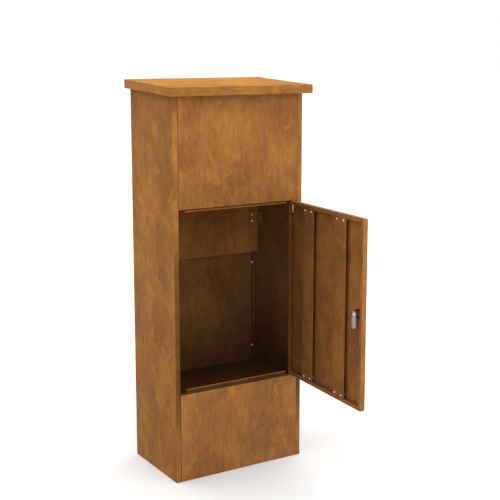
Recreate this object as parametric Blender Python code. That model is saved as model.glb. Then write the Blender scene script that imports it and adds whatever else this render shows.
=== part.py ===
"""Free-standing parcel mailbox of folded weathering steel, with its door standing open.

Units are metres and +Z is up. The origin is the middle of the base. The door faces -Y, +X is on the
right of someone who looks at the door, and letters go in through a flap in the back.
"""
import math

import bmesh
import bpy
from mathutils import Matrix, Vector

# Body
BODY_WIDTH = 0.372
BODY_DEPTH = 0.232
HEIGHT = 1.000
SHEET = 0.0015
BEND_INSIDE = 0.0005
BEND_STEPS = 3
GAP = 0.0003
SEAM = 0.0003
JAMB_WIDTH = 0.0133
JAMB_RETURN = 0.012
REAR_FLANGE = 0.018
TOP_FLANGE = 0.014

# Lid, which falls towards the front
LID_SLOPE = 0.049
LID_SKIRT = 0.022
LID_SIDE_OVERHANG = 0.0155
LID_FRONT_OVERHANG = 0.024
LID_BACK_OVERHANG = 0.0024
STUD_RADIUS = 0.002
STUD_LENGTH = 0.009
STUD_INSET = 0.030
NUT_WIDTH = 0.007
NUT_HEIGHT = 0.003

# Door opening and the lips that the door shuts against
OPENING_BOTTOM = 0.226
OPENING_HEIGHT = 0.4655
REBATE_DEPTH = 0.0155
STOP_LIP = 0.0085
STOP_LIP_INSET = 0.024

# Floor of the compartment and the base
FLOOR_TOP = 0.208
FLOOR_FLANGE = 0.015
BASE_SHEET = 0.002
BASE_FLANGE = 0.020
ANCHOR_RADIUS = 0.0045
ANCHOR_INSET_X = 0.045
ANCHOR_INSET_Y = 0.040

# Door: a shallow pan whose rim is turned in all round
DOOR_SIDE_GAP = 0.002
DOOR_END_GAP = 0.001
DOOR_THICKNESS = 0.013
DOOR_LIP = 0.010
DOOR_OPEN_ANGLE = math.radians(86.5)
HINGE_INSET = 0.008
HINGE_DEPTH = 0.005

# Hinge pins and the bracket that holds the upper one in the door
PIN_RADIUS = 0.002
PIN_HEAD_RADIUS = 0.003
PIN_HEAD = 0.002
PIN_REACH = 0.0015
BRACKET_DROP = 0.026
BRACKET_WIDTH = 0.009
WASHER_RADIUS = 0.0045

# Stiffeners on the inside of the door
STIFFENER_SHEET = 0.0012
STIFFENER_TOP = 0.0518
STIFFENER_HEIGHT = 0.0110
STIFFENER_FOOT = 0.008
STIFFENER_FROM_HINGE = 0.0954
STIFFENER_SPACING = 0.1465
STIFFENER_END_GAP = 0.0005
STIFFENER_SCREW_SPREAD = 0.0282
STIFFENER_SCREW_END = 0.0155
BOSS_RADIUS = 0.004

# Screws with a low domed head
SCREW_RADIUS = 0.0017
SCREW_HEAD_RADIUS = 0.0034
SCREW_HEAD = 0.0020
SCREW_RECESS_RADIUS = 0.0012
SCREW_RECESS = 0.0008
SCREW_SIDES = 12

# Cam lock
LOCK_FROM_FREE_EDGE = 0.030
LOCK_ABOVE_MIDDLE = 0.00025
LOCK_BEZEL_RADIUS = 0.0115
LOCK_BEZEL = 0.0030
LOCK_BODY_RADIUS = 0.0085
LOCK_BODY_DEPTH = 0.0138
LOCK_NUT_WIDTH = 0.022
LOCK_NUT = 0.0035
PLUG_RADIUS = 0.0055
PLUG_TAIL = 0.0065
KEYWAY_WIDTH = 0.0012
KEYWAY_LENGTH = 0.0070
KEYWAY_DEPTH = 0.0060
CAM_REACH = 0.0355
CAM_WIDTH = 0.014
CAM_SHEET = 0.0025
CAM_SCREW_RADIUS = 0.0050
CAM_SCREW_HEAD = 0.0030
CAM_SCREW_SHANK = 0.0015

# Letter baffle inside the back
BAFFLE_BOTTOM = 0.520
BAFFLE_TOP_DROP = 0.075
CHUTE_DEPTH = 0.0128
CORNER_BRACKET_LEG = 0.024
CORNER_BRACKET_HEIGHT = 0.036
CORNER_BRACKET_RISE = 0.097
CORNER_SCREW_SPREAD = 0.018
CORNER_SCREW_INSET = 0.017

# Letter slot in the back, and its flap
SLOT_HEIGHT = 0.034
SLOT_DROP = 0.148
FLAP_OVERLAP = 0.008
FLAP_STAND_OFF = 0.0046
FLAP_PIN_RADIUS = 0.0015
FLAP_PIN_CLEARANCE = 0.0003
FLAP_SHEET = 0.0012
FLAP_EAR = 0.009
FLAP_EAR_GAP = 0.0005
FLAP_EAR_MARGIN = 0.00975

# Screws down each rear flange and each front seam
BACK_SCREW_LOW = 0.041
BACK_SCREW_MIDDLE = 0.280
BACK_SCREW_DROP = 0.220
SEAM_SCREW_LOW = 0.045
SEAM_SCREW_UNDER = 0.061
SEAM_SCREW_OVER = 0.0435
SEAM_SCREW_DROP = 0.070

HALF_WIDTH = BODY_WIDTH / 2
HALF_DEPTH = BODY_DEPTH / 2
OPENING_TOP = OPENING_BOTTOM + OPENING_HEIGHT
OPENING_HALF = HALF_WIDTH - JAMB_WIDTH
INNER_HALF = HALF_WIDTH - SHEET
BEND_OUTSIDE = BEND_INSIDE + SHEET
LID_BACK = HALF_DEPTH + LID_BACK_OVERHANG
BACK_OUTER = HALF_DEPTH - SHEET - GAP
BACK_INNER = BACK_OUTER - SHEET
BAFFLE_FACE = BACK_INNER - CHUTE_DEPTH - SHEET
BAFFLE_TOP = HEIGHT - BAFFLE_TOP_DROP
CORNER_BRACKET_MIDDLE = BAFFLE_BOTTOM + CORNER_BRACKET_RISE

BACK_SCREW_HEIGHTS = (FLOOR_TOP + BACK_SCREW_LOW, FLOOR_TOP + BACK_SCREW_MIDDLE, HEIGHT - BACK_SCREW_DROP)
LOWER_SEAM_SCREWS = (SEAM_SCREW_LOW, OPENING_BOTTOM - SEAM_SCREW_UNDER)
UPPER_SEAM_SCREWS = (OPENING_TOP + SEAM_SCREW_OVER, HEIGHT - SEAM_SCREW_DROP)

DOOR_WIDTH = 2 * (OPENING_HALF - DOOR_SIDE_GAP)
DOOR_BOTTOM = OPENING_BOTTOM + DOOR_END_GAP
DOOR_TOP = OPENING_TOP - DOOR_END_GAP
PIVOT = Vector((OPENING_HALF - DOOR_SIDE_GAP - HINGE_INSET, -HALF_DEPTH + HINGE_DEPTH, 0.0))
# The door's own faces, measured from the pivot with the door shut
DOOR_OUTER = -HINGE_DEPTH
DOOR_SKIN = DOOR_OUTER + SHEET
DOOR_INNER = DOOR_OUTER + DOOR_THICKNESS
DOOR_HINGE_EDGE = HINGE_INSET
DOOR_FREE_EDGE = HINGE_INSET - DOOR_WIDTH
LOCK_HEIGHT = (DOOR_BOTTOM + DOOR_TOP) / 2 + LOCK_ABOVE_MIDDLE
LOCK_PLACE = Vector((DOOR_FREE_EDGE + LOCK_FROM_FREE_EDGE, DOOR_OUTER, LOCK_HEIGHT))
STIFFENER_PLACES = (STIFFENER_FROM_HINGE, STIFFENER_FROM_HINGE + STIFFENER_SPACING)

SLOT_MIDDLE = HEIGHT - SLOT_DROP
FLAP_PIN_PLACE = Vector((0.0, BACK_OUTER + FLAP_STAND_OFF, SLOT_MIDDLE + SLOT_HEIGHT / 2 + FLAP_OVERLAP))
# The ears' feet stay clear of the rear flanges, and the flap fills the space between the ears
FLAP_EAR_INSIDE = HALF_WIDTH - REAR_FLANGE - FLAP_EAR_MARGIN - FLAP_EAR - SHEET / 2
FLAP_HALF = FLAP_EAR_INSIDE - FLAP_EAR_GAP
SLOT_WIDTH = 2 * (FLAP_HALF - FLAP_OVERLAP)


def lid_top(y):
    """Height of the lid's upper face at a depth y."""
    return HEIGHT - LID_SLOPE * (LID_BACK - y)


def body_top(y):
    """Height of the walls' upper edge, just under the lid's sheet."""
    return lid_top(y) - SHEET - GAP


def clear_scene():
    for obj in list(bpy.data.objects):
        bpy.data.objects.remove(obj, do_unlink=True)
    for mesh in list(bpy.data.meshes):
        bpy.data.meshes.remove(mesh)


def make_material(name, colour, roughness, metallic):
    material = bpy.data.materials.new(name)
    material.use_nodes = True
    shader = material.node_tree.nodes["Principled BSDF"]
    shader.inputs["Base Color"].default_value = (*colour, 1.0)
    shader.inputs["Roughness"].default_value = roughness
    shader.inputs["Metallic"].default_value = metallic
    material.diffuse_color = (*colour, 1.0)
    return material


def make_materials():
    return {
        "rust": make_material("rusted_steel", (0.38, 0.17, 0.055), 0.75, 0.0),
        "rust_dark": make_material("rusted_steel_inside", (0.16, 0.075, 0.03), 0.8, 0.0),
        "steel": make_material("bright_steel", (0.62, 0.61, 0.59), 0.3, 1.0),
        "dark_steel": make_material("dark_steel", (0.12, 0.12, 0.12), 0.45, 1.0),
        "nylon": make_material("nylon", (0.75, 0.74, 0.70), 0.5, 0.0),
    }


def make_object(name, shape, material=None, parent=None, place=(0, 0, 0)):
    """Turns a bmesh, or a mesh that several pieces share, into an object."""
    mesh = shape
    if isinstance(shape, bmesh.types.BMesh):
        bmesh.ops.recalc_face_normals(shape, faces=shape.faces)
        mesh = bpy.data.meshes.new(name)
        shape.to_mesh(mesh)
        shape.free()
        mesh.shade_smooth()
        mesh.set_sharp_from_angle(angle=math.radians(35))
    obj = bpy.data.objects.new(name, mesh)
    bpy.context.scene.collection.objects.link(obj)
    if material is not None and not mesh.materials:
        mesh.materials.append(material)
    obj.parent = parent
    obj.location = place
    return obj


def combine(obj, operation, name, shape):
    """Adds a shape to an object, or cuts it out, with a live Boolean."""
    helper = make_object(name, shape, parent=obj.parent, place=obj.location)
    helper.hide_render = True
    helper.display_type = "WIRE"
    modifier = obj.modifiers.new(name, "BOOLEAN")
    modifier.operation = operation
    modifier.solver = "EXACT"
    modifier.object = helper


def join(obj, name, shape):
    combine(obj, "UNION", name, shape)


def cut(obj, name, shape):
    combine(obj, "DIFFERENCE", name, shape)


def add_box(shape, low, high):
    """Adds a box to a bmesh and returns its edges."""
    size = Vector(high) - Vector(low)
    middle = (Vector(high) + Vector(low)) / 2
    matrix = Matrix.Translation(middle) @ Matrix.Diagonal((*size, 1.0))
    corners = bmesh.ops.create_cube(shape, size=1.0, matrix=matrix)["verts"]
    return {edge for corner in corners for edge in corner.link_edges}


def box(low, high):
    shape = bmesh.new()
    add_box(shape, low, high)
    return shape


def rounded_box(low, high, radius, on_bend):
    """A box whose edges are rounded where on_bend says, from the edge's middle and direction."""
    shape = bmesh.new()
    edges = add_box(shape, low, high)
    chosen = [edge for edge in edges if on_bend(*edge_place(edge))]
    bmesh.ops.bevel(shape, geom=chosen, offset=radius, segments=BEND_STEPS, profile=0.5, affect="EDGES")
    return shape


def edge_place(edge):
    start, end = (vertex.co for vertex in edge.verts)
    return (start + end) / 2, (end - start).normalized()


def prism(outline, low, high, place=lambda a, b, c: (a, b, c)):
    """Extrudes a flat outline. low and high are numbers, or functions of an outline point."""
    shape = bmesh.new()
    rings = []
    for level in (low, high):
        heights = [level(a, b) if callable(level) else level for a, b in outline]
        rings.append([shape.verts.new(place(a, b, c)) for (a, b), c in zip(outline, heights)])
    shape.faces.new(rings[0])
    shape.faces.new(rings[1])
    for index in range(len(outline)):
        following = (index + 1) % len(outline)
        shape.faces.new((rings[0][index], rings[0][following], rings[1][following], rings[1][index]))
    return shape


def along_x(a, b, c):
    """Lays an outline drawn in Y and Z along X."""
    return (c, a, b)


def along_y(a, b, c):
    """Lays an outline drawn in X and Z along Y."""
    return (a, c, b)


def folded(path, thickness=SHEET):
    """Outline of a bent sheet that follows a path along its mid-line, with round bends."""
    radius = BEND_INSIDE + thickness / 2
    points = [Vector(point) for point in path]
    left, right = [], []

    def put(point, normal):
        left.append(point + normal * thickness / 2)
        right.append(point - normal * thickness / 2)

    for index, point in enumerate(points):
        before = (point - points[index - 1]).normalized() if index else None
        after = (points[index + 1] - point).normalized() if index + 1 < len(points) else None
        if before is None or after is None:
            direction = after or before
            put(point, Vector((-direction.y, direction.x)))
            continue
        turn = before.angle_signed(after)
        setback = radius * math.tan(abs(turn) / 2)
        side = -1.0 if turn > 0 else 1.0
        normal = Vector((-before.y, before.x))
        centre = point - before * setback + normal * side * radius
        for step in range(BEND_STEPS + 1):
            spoke = -normal * side
            spoke.rotate(Matrix.Rotation(-turn * step / BEND_STEPS, 2))
            put(centre + spoke * radius, spoke * -side)
    return [tuple(point) for point in left + right[::-1]]


def turned(profile, sides):
    """A solid of revolution about Z, from (radius, height) points that run from bottom to top."""
    shape = bmesh.new()
    rings = []
    for radius, height in profile:
        if radius == 0:
            rings.append([shape.verts.new((0, 0, height))])
            continue
        angles = [2 * math.pi * step / sides for step in range(sides)]
        rings.append([shape.verts.new((radius * math.cos(a), radius * math.sin(a), height)) for a in angles])
    for lower, upper in zip(rings, rings[1:]):
        for step in range(sides):
            following = (step + 1) % sides
            corners = [lower[step % len(lower)], lower[following % len(lower)]]
            corners += [upper[following % len(upper)], upper[step % len(upper)]]
            shape.faces.new(list(dict.fromkeys(corners)))
    return shape


def cylinder(radius, low, high, sides=24):
    return turned([(0, low), (radius, low), (radius, high), (0, high)], sides)


def tube(inner, outer, low, high, sides=24):
    """A ring of rectangular section about Z."""
    shape = bmesh.new()
    rings = []
    for radius, height in ((inner, low), (outer, low), (outer, high), (inner, high)):
        angles = [2 * math.pi * step / sides for step in range(sides)]
        rings.append([shape.verts.new((radius * math.cos(a), radius * math.sin(a), height)) for a in angles])
    for index, ring in enumerate(rings):
        other = rings[(index + 1) % len(rings)]
        for step in range(sides):
            following = (step + 1) % sides
            shape.faces.new((ring[step], ring[following], other[following], other[step]))
    return shape


def moved(shape, place=(0, 0, 0), up=(0, 0, 1)):
    """Turns a shape's Z axis to face up, and moves it."""
    turn = Vector((0, 0, 1)).rotation_difference(Vector(up)).to_matrix().to_4x4()
    bmesh.ops.transform(shape, matrix=Matrix.Translation(place) @ turn, verts=shape.verts)
    return shape


def merged(shapes):
    """Puts several separate shapes in one bmesh."""
    whole = bmesh.new()
    for shape in shapes:
        mesh = bpy.data.meshes.new("part_shape")
        shape.to_mesh(mesh)
        shape.free()
        whole.from_mesh(mesh)
        bpy.data.meshes.remove(mesh)
    return whole


def holes(places, radius, up, length):
    """Round cutters, each centred on its place and lying along up."""
    return merged([moved(cylinder(radius, -length / 2, length / 2, 16), place, up) for place in places])


def screw_shape(length):
    """A pan-head screw along Z: the head's seat is at zero and the shank points down."""
    profile = [
        (0, -length),
        (SCREW_RADIUS, -length),
        (SCREW_RADIUS, 0),
        (SCREW_HEAD_RADIUS, 0),
        (SCREW_HEAD_RADIUS, SCREW_HEAD * 0.45),
        (SCREW_HEAD_RADIUS * 0.6, SCREW_HEAD),
        (SCREW_RECESS_RADIUS, SCREW_HEAD),
        (0, SCREW_HEAD - SCREW_RECESS),
    ]
    return turned(profile, SCREW_SIDES)


def add_screws(names, places, up, length, material, parent=None):
    """One object for each screw, all of one mesh. up is where the heads point."""
    mesh = None
    for name, place in zip(names, places):
        seat = Vector(place) + Vector(up) * GAP
        shape = mesh or moved(screw_shape(length), up=up)
        mesh = make_object(name, shape, material, parent, seat).data


def hexagon(width):
    radius = width / math.sqrt(3)
    return [(radius * math.cos(math.pi * n / 3), radius * math.sin(math.pi * n / 3)) for n in range(6)]


def nut_shape(width, height, bore):
    """A hexagonal nut about Z that starts at zero."""
    nut = bmesh.new()
    outline = hexagon(width)
    sides = 24
    outer, inner = [], []
    for height_now in (0, height):
        outer.append([nut.verts.new((a, b, height_now)) for a, b in outline])
        angles = [2 * math.pi * step / sides for step in range(sides)]
        inner.append([nut.verts.new((bore * math.cos(a), bore * math.sin(a), height_now)) for a in angles])
    share = sides // len(outline)
    for level in range(2):
        for corner in range(len(outline)):
            following = (corner + 1) % len(outline)
            arc = [inner[level][(corner * share + step) % sides] for step in range(share, -1, -1)]
            nut.faces.new([outer[level][corner], outer[level][following], *arc])
    for ring in (outer, inner):
        count = len(ring[0])
        for step in range(count):
            following = (step + 1) % count
            nut.faces.new((ring[0][step], ring[0][following], ring[1][following], ring[1][step]))
    return nut


def seam_screw_places(side, heights):
    """Screws through a front panel's side flange into the jamb behind it."""
    x = side * (OPENING_HALF - SEAM - SHEET)
    return [(x, -HALF_DEPTH + JAMB_RETURN * 0.6, height) for height in heights]


def back_screw_places(side):
    x = side * (HALF_WIDTH - REAR_FLANGE * 0.55)
    return [(x, BACK_INNER, height) for height in BACK_SCREW_HEIGHTS]


def stud_places(side):
    """Where the lid's studs go down through a side panel's top flange."""
    x = side * (INNER_HALF - TOP_FLANGE * 0.6)
    return [(x, y, lid_top(y)) for y in (-HALF_DEPTH + STUD_INSET, HALF_DEPTH - STUD_INSET)]


def corner_stud_place(side):
    """Stud welded to a side panel for the letter baffle's bracket."""
    y = BAFFLE_FACE - GAP - CORNER_BRACKET_LEG / 2
    return Vector((side * INNER_HALF, y, CORNER_BRACKET_MIDDLE))


def make_side_panel(name, side, material):
    """A channel: jamb return, jamb, side and rear flange from one sheet, with a flange at the top."""
    half = SHEET / 2
    path = [
        (OPENING_HALF + half, -HALF_DEPTH + JAMB_RETURN),
        (OPENING_HALF + half, -HALF_DEPTH + half),
        (HALF_WIDTH - half, -HALF_DEPTH + half),
        (HALF_WIDTH - half, HALF_DEPTH - half),
        (HALF_WIDTH - REAR_FLANGE, HALF_DEPTH - half),
    ]
    outline = [(side * x, y) for x, y in folded(path)]
    panel = make_object(name, prism(outline, 0.0, lambda x, y: body_top(y)), material)

    front = -HALF_DEPTH + JAMB_RETURN + GAP
    back = BACK_INNER - GAP
    inner = side * (INNER_HALF - TOP_FLANGE)
    outer = side * (INNER_HALF + half)
    flange = [(inner, front), (outer, front), (outer, back), (inner, back)]
    shape = prism(flange, lambda x, y: body_top(y) - SHEET - GAP, lambda x, y: body_top(y) - GAP)
    join(panel, f"{name}_top_flange", shape)

    stud = cylinder(STUD_RADIUS, -half, STUD_LENGTH * 0.75, 16)
    join(panel, f"{name}_stud", moved(stud, corner_stud_place(side), (-side, 0, 0)))

    front_places = seam_screw_places(side, LOWER_SEAM_SCREWS + UPPER_SEAM_SCREWS)
    bore = SCREW_RADIUS + GAP
    bores = [
        holes(front_places, bore, (1, 0, 0), 4 * (SEAM + SHEET)),
        holes(back_screw_places(side), bore, (0, 1, 0), 6 * SHEET),
        holes(stud_places(side), STUD_RADIUS + GAP, (0, 0, 1), 6 * SHEET),
    ]
    cut(panel, f"{name}_holes", merged(bores))


def make_front_panel(name, upper, material):
    """A panel between the jambs. Its edge at the opening is turned in, then on to a stop lip."""
    half = SHEET / 2
    face = -HALF_DEPTH + half
    rebate = -HALF_DEPTH + REBATE_DEPTH - SHEET
    panel_half = OPENING_HALF - SEAM
    if upper:
        edge, far, turn = OPENING_TOP, body_top(face), 1
        screw_heights = UPPER_SEAM_SCREWS
        path = [(face, far), (face, edge + half), (rebate + SHEET, edge + half)]
    else:
        edge, far, turn = OPENING_BOTTOM, 0.0, -1
        screw_heights = LOWER_SEAM_SCREWS
        path = [(-HALF_DEPTH + JAMB_RETURN, half), (face, half), (face, edge - half)]
        path += [(rebate + SHEET, edge - half)]
    panel = make_object(name, prism(folded(path), -panel_half, panel_half, along_x), material)

    lip_half = OPENING_HALF - STOP_LIP_INSET
    ends = sorted((edge - turn * STOP_LIP, edge + turn * half))
    lip = box((-lip_half, rebate, ends[0]), (lip_half, rebate + SHEET, ends[1]))
    join(panel, f"{name}_stop_lip", lip)

    ends = sorted((edge + turn * half, far if upper else half))
    sides = []
    for side in (-1, 1):
        x = sorted((side * panel_half, side * (panel_half - SHEET)))
        low = (x[0], face, ends[0])
        sides.append(box(low, (x[1], -HALF_DEPTH + JAMB_RETURN, ends[1])))
    join(panel, f"{name}_side_flanges", merged(sides))

    places = [place for side in (-1, 1) for place in seam_screw_places(side, screw_heights)]
    pivot = (PIVOT.x, PIVOT.y, edge + turn * half)
    bores = [
        holes(places, SCREW_RADIUS + GAP, (1, 0, 0), 4 * (SEAM + SHEET)),
        holes([pivot], PIN_RADIUS + GAP, (0, 0, 1), 4 * SHEET),
    ]
    cut(panel, f"{name}_holes", merged(bores))


def make_back_panel(material):
    half = INNER_HALF - GAP
    outline = [(-half, 0.0), (half, 0.0), (half, body_top(BACK_INNER)), (-half, body_top(BACK_INNER))]
    panel = make_object("back_panel", prism(outline, BACK_INNER, BACK_OUTER, along_y), material)
    slot_low = (-SLOT_WIDTH / 2, BACK_INNER - SHEET, SLOT_MIDDLE - SLOT_HEIGHT / 2)
    slot_high = (SLOT_WIDTH / 2, BACK_OUTER + SHEET, SLOT_MIDDLE + SLOT_HEIGHT / 2)
    cut(panel, "back_panel_slot", box(slot_low, slot_high))
    places = back_screw_places(-1) + back_screw_places(1)
    cut(panel, "back_panel_holes", holes(places, SCREW_RADIUS + GAP, (0, 1, 0), 4 * SHEET))


def make_tray(name, low, high, sheet, flange, upward, material):
    """A flat plate with a flange along each of its four sides."""
    def on_bend(middle, direction):
        level = low[2] if upward else high[2]
        return abs(middle.z - level) < GAP or abs(direction.z) > 0.5

    tray = make_object(name, rounded_box(low, high, BEND_OUTSIDE, on_bend), material)
    inner_low = [low[0] + sheet, low[1] + sheet, low[2] + sheet if upward else low[2] - flange]
    inner_high = [high[0] - sheet, high[1] - sheet, high[2] + flange if upward else high[2] - sheet]
    cut(tray, f"{name}_hollow", box(inner_low, inner_high))
    return tray


def make_floor(material):
    half = INNER_HALF - GAP
    front = -HALF_DEPTH + REBATE_DEPTH + GAP
    low = (-half, front, FLOOR_TOP - FLOOR_FLANGE)
    make_tray("compartment_floor", low, (half, BACK_INNER - GAP, FLOOR_TOP), SHEET, FLOOR_FLANGE, False, material)


def make_base(material):
    half = INNER_HALF - GAP
    front = -HALF_DEPTH + JAMB_RETURN + GAP
    low = (-half, front, 0.0)
    high = (half, BACK_INNER - GAP, BASE_FLANGE)
    base = make_tray("base_plate", low, high, BASE_SHEET, BASE_FLANGE, True, material)
    x = HALF_WIDTH - ANCHOR_INSET_X
    y = HALF_DEPTH - ANCHOR_INSET_Y
    places = [(a, b, 0.0) for a in (-x, x) for b in (-y, y)]
    cut(base, "base_plate_anchor_holes", holes(places, ANCHOR_RADIUS, (0, 0, 1), 4 * BASE_SHEET))


def sloped(shape):
    """Shears a level shape so that it follows the lid's fall."""
    for vertex in shape.verts:
        vertex.co.z += lid_top(vertex.co.y)
    return shape


def make_lid(material):
    """A tray turned upside down, with a stud under it for each nut."""
    side = HALF_WIDTH + LID_SIDE_OVERHANG
    front = -HALF_DEPTH - LID_FRONT_OVERHANG

    def on_bend(middle, direction):
        return abs(middle.z) < GAP or abs(direction.z) > 0.5

    outer = rounded_box((-side, front, -LID_SKIRT), (side, LID_BACK, 0.0), BEND_OUTSIDE, on_bend)
    lid = make_object("lid", sloped(outer), material)
    hollow = box((-side + SHEET, front + SHEET, -2 * LID_SKIRT), (side - SHEET, LID_BACK - SHEET, -SHEET))
    cut(lid, "lid_hollow", sloped(hollow))
    studs = []
    for place in stud_places(-1) + stud_places(1):
        studs.append(moved(cylinder(STUD_RADIUS, -SHEET - STUD_LENGTH, -SHEET / 2, 16), place))
    join(lid, "lid_studs", merged(studs))


def make_lid_nuts(material):
    names = [f"lid_nut_{side}_{end}" for side in ("left", "right") for end in ("front", "back")]
    drop = 2 * SHEET + 2 * GAP + NUT_HEIGHT + LID_SLOPE * NUT_WIDTH
    mesh = None
    for name, place in zip(names, stud_places(-1) + stud_places(1)):
        shape = mesh or nut_shape(NUT_WIDTH, NUT_HEIGHT, STUD_RADIUS + GAP)
        mesh = make_object(name, shape, material, place=Vector(place) - Vector((0, 0, drop))).data


def corner_screw_places(side):
    x = side * (INNER_HALF - CORNER_SCREW_INSET)
    y = BAFFLE_FACE - GAP - SHEET
    return [(x, y, CORNER_BRACKET_MIDDLE + CORNER_SCREW_SPREAD * step) for step in (-0.5, 0.5)]


def make_baffle(material, steel):
    """The plate that hides the letter slot from the compartment, and the brackets that carry it."""
    half = INNER_HALF - GAP
    low = (-half, BAFFLE_FACE, BAFFLE_BOTTOM)
    baffle = make_object("letter_baffle", box(low, (half, BAFFLE_FACE + SHEET, BAFFLE_TOP)), material)
    places = corner_screw_places(-1) + corner_screw_places(1)
    cut(baffle, "letter_baffle_holes", holes(places, SCREW_RADIUS + GAP, (0, 1, 0), 8 * SHEET))
    bottom = CORNER_BRACKET_MIDDLE - CORNER_BRACKET_HEIGHT / 2
    for side, word in ((-1, "left"), (1, "right")):
        wall = INNER_HALF - GAP - SHEET / 2
        plate = BAFFLE_FACE - GAP - SHEET / 2
        path = [(wall, plate - CORNER_BRACKET_LEG), (wall, plate), (wall - CORNER_BRACKET_LEG, plate)]
        outline = [(side * x, y) for x, y in folded(path)]
        name = f"baffle_bracket_{word}"
        shape = prism(outline, bottom, bottom + CORNER_BRACKET_HEIGHT)
        bracket = make_object(name, shape, material)
        screws = corner_screw_places(side)
        cut(bracket, f"{name}_screw_holes", holes(screws, SCREW_RADIUS + GAP, (0, 1, 0), 4 * SHEET))
        stud = corner_stud_place(side)
        cut(bracket, f"{name}_stud_hole", holes([stud], STUD_RADIUS + GAP, (1, 0, 0), 6 * SHEET))
        names = [f"baffle_screw_{word}_{level}" for level in ("lower", "upper")]
        add_screws(names, screws, (0, -1, 0), 2 * SHEET + 3 * GAP, steel)
        nut = nut_shape(NUT_WIDTH, NUT_HEIGHT * 0.8, STUD_RADIUS + GAP)
        seat = stud + Vector((-side * (SHEET + 2 * GAP), 0, 0))
        make_object(f"baffle_nut_{word}", moved(nut, up=(-side, 0, 0)), steel, place=seat)


def make_door_panel(hinge, material):
    def on_bend(middle, direction):
        return abs(middle.y - DOOR_OUTER) < GAP or abs(direction.y) > 0.5

    low = (DOOR_FREE_EDGE, DOOR_OUTER, DOOR_BOTTOM)
    high = (DOOR_HINGE_EDGE, DOOR_INNER, DOOR_TOP)
    outer = rounded_box(low, high, BEND_OUTSIDE, on_bend)
    panel = make_object("door_panel", outer, material, hinge)
    sheet = Vector((SHEET, SHEET, SHEET))
    cut(panel, "door_hollow", box(Vector(low) + sheet, Vector(high) - sheet))
    lip = Vector((DOOR_LIP, 0, DOOR_LIP))
    mouth_low = Vector((low[0], DOOR_INNER - 2 * SHEET, low[2])) + lip
    mouth_high = Vector((high[0], DOOR_INNER + SHEET, high[2])) - lip
    cut(panel, "door_mouth", box(mouth_low, mouth_high))

    top = DOOR_SKIN + STIFFENER_HEIGHT - STIFFENER_SHEET - GAP
    bosses, bores = [], []
    for place in stiffener_screw_places():
        foot = Vector((place.x, 0, place.z))
        bosses.append(moved(cylinder(BOSS_RADIUS, DOOR_SKIN - SHEET / 2, top, 16), foot, (0, 1, 0)))
        bores.append(moved(cylinder(SCREW_RADIUS + GAP, DOOR_SKIN, top + SHEET, 16), foot, (0, 1, 0)))
    join(panel, "door_bosses", merged(bosses))
    cut(panel, "door_boss_bores", merged(bores))

    lock = holes([LOCK_PLACE], LOCK_BODY_RADIUS + GAP, (0, 1, 0), 4 * SHEET)
    cut(panel, "door_lock_hole", lock)
    pins = [(0, 0, DOOR_BOTTOM), (0, 0, DOOR_TOP)]
    cut(panel, "door_pin_holes", holes(pins, PIN_RADIUS + GAP, (0, 0, 1), 4 * SHEET))


def stiffener_screw_places():
    places = []
    seat = DOOR_SKIN + STIFFENER_HEIGHT
    for distance in STIFFENER_PLACES:
        for height in (DOOR_BOTTOM + STIFFENER_SCREW_END, DOOR_TOP - STIFFENER_SCREW_END):
            for step in (0.5, -0.5):
                x = DOOR_HINGE_EDGE - distance - step * STIFFENER_SCREW_SPREAD
                places.append(Vector((x, seat, height)))
    return places


def make_stiffeners(hinge, material, steel):
    """Two channels on the inside of the door, open towards its free edge, each held by four screws."""
    half = STIFFENER_SHEET / 2
    foot = DOOR_SKIN + GAP + half
    top = DOOR_SKIN + STIFFENER_HEIGHT - half
    low = DOOR_BOTTOM + DOOR_LIP + STIFFENER_END_GAP
    high = DOOR_TOP - DOOR_LIP - STIFFENER_END_GAP
    places = stiffener_screw_places()
    for number, (word, distance) in enumerate(zip(("hinge_side", "lock_side"), STIFFENER_PLACES)):
        middle = DOOR_HINGE_EDGE - distance
        wide = STIFFENER_TOP / 2
        path = [
            (middle - wide, top),
            (middle + wide, top),
            (middle + wide, foot),
            (middle + wide + STIFFENER_FOOT, foot),
        ]
        name = f"door_stiffener_{word}"
        shape = prism(folded(path, STIFFENER_SHEET), low, high)
        stiffener = make_object(name, shape, material, hinge)
        screws = places[number * 4 : number * 4 + 4]
        bore = holes(screws, SCREW_RADIUS + GAP, (0, 1, 0), 4 * STIFFENER_SHEET)
        cut(stiffener, f"{name}_holes", bore)
        names = [f"door_screw_{word}_{end}_{n}" for end in ("bottom", "top") for n in (1, 2)]
        length = STIFFENER_HEIGHT - SHEET
        add_screws(names, screws, (0, 1, 0), length, steel, hinge)


def make_pin(name, seat, up, length, steel, parent=None):
    """A headed pin whose head's seat is at seat. up is the way that its tip points."""
    profile = [(0, -PIN_HEAD), (PIN_HEAD_RADIUS, -PIN_HEAD), (PIN_HEAD_RADIUS, 0), (PIN_RADIUS, 0)]
    profile += [(PIN_RADIUS, length - PIN_RADIUS / 2), (PIN_RADIUS / 2, length), (0, length)]
    make_object(name, moved(turned(profile, 20), seat, (0, 0, up)), steel, parent)


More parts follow.
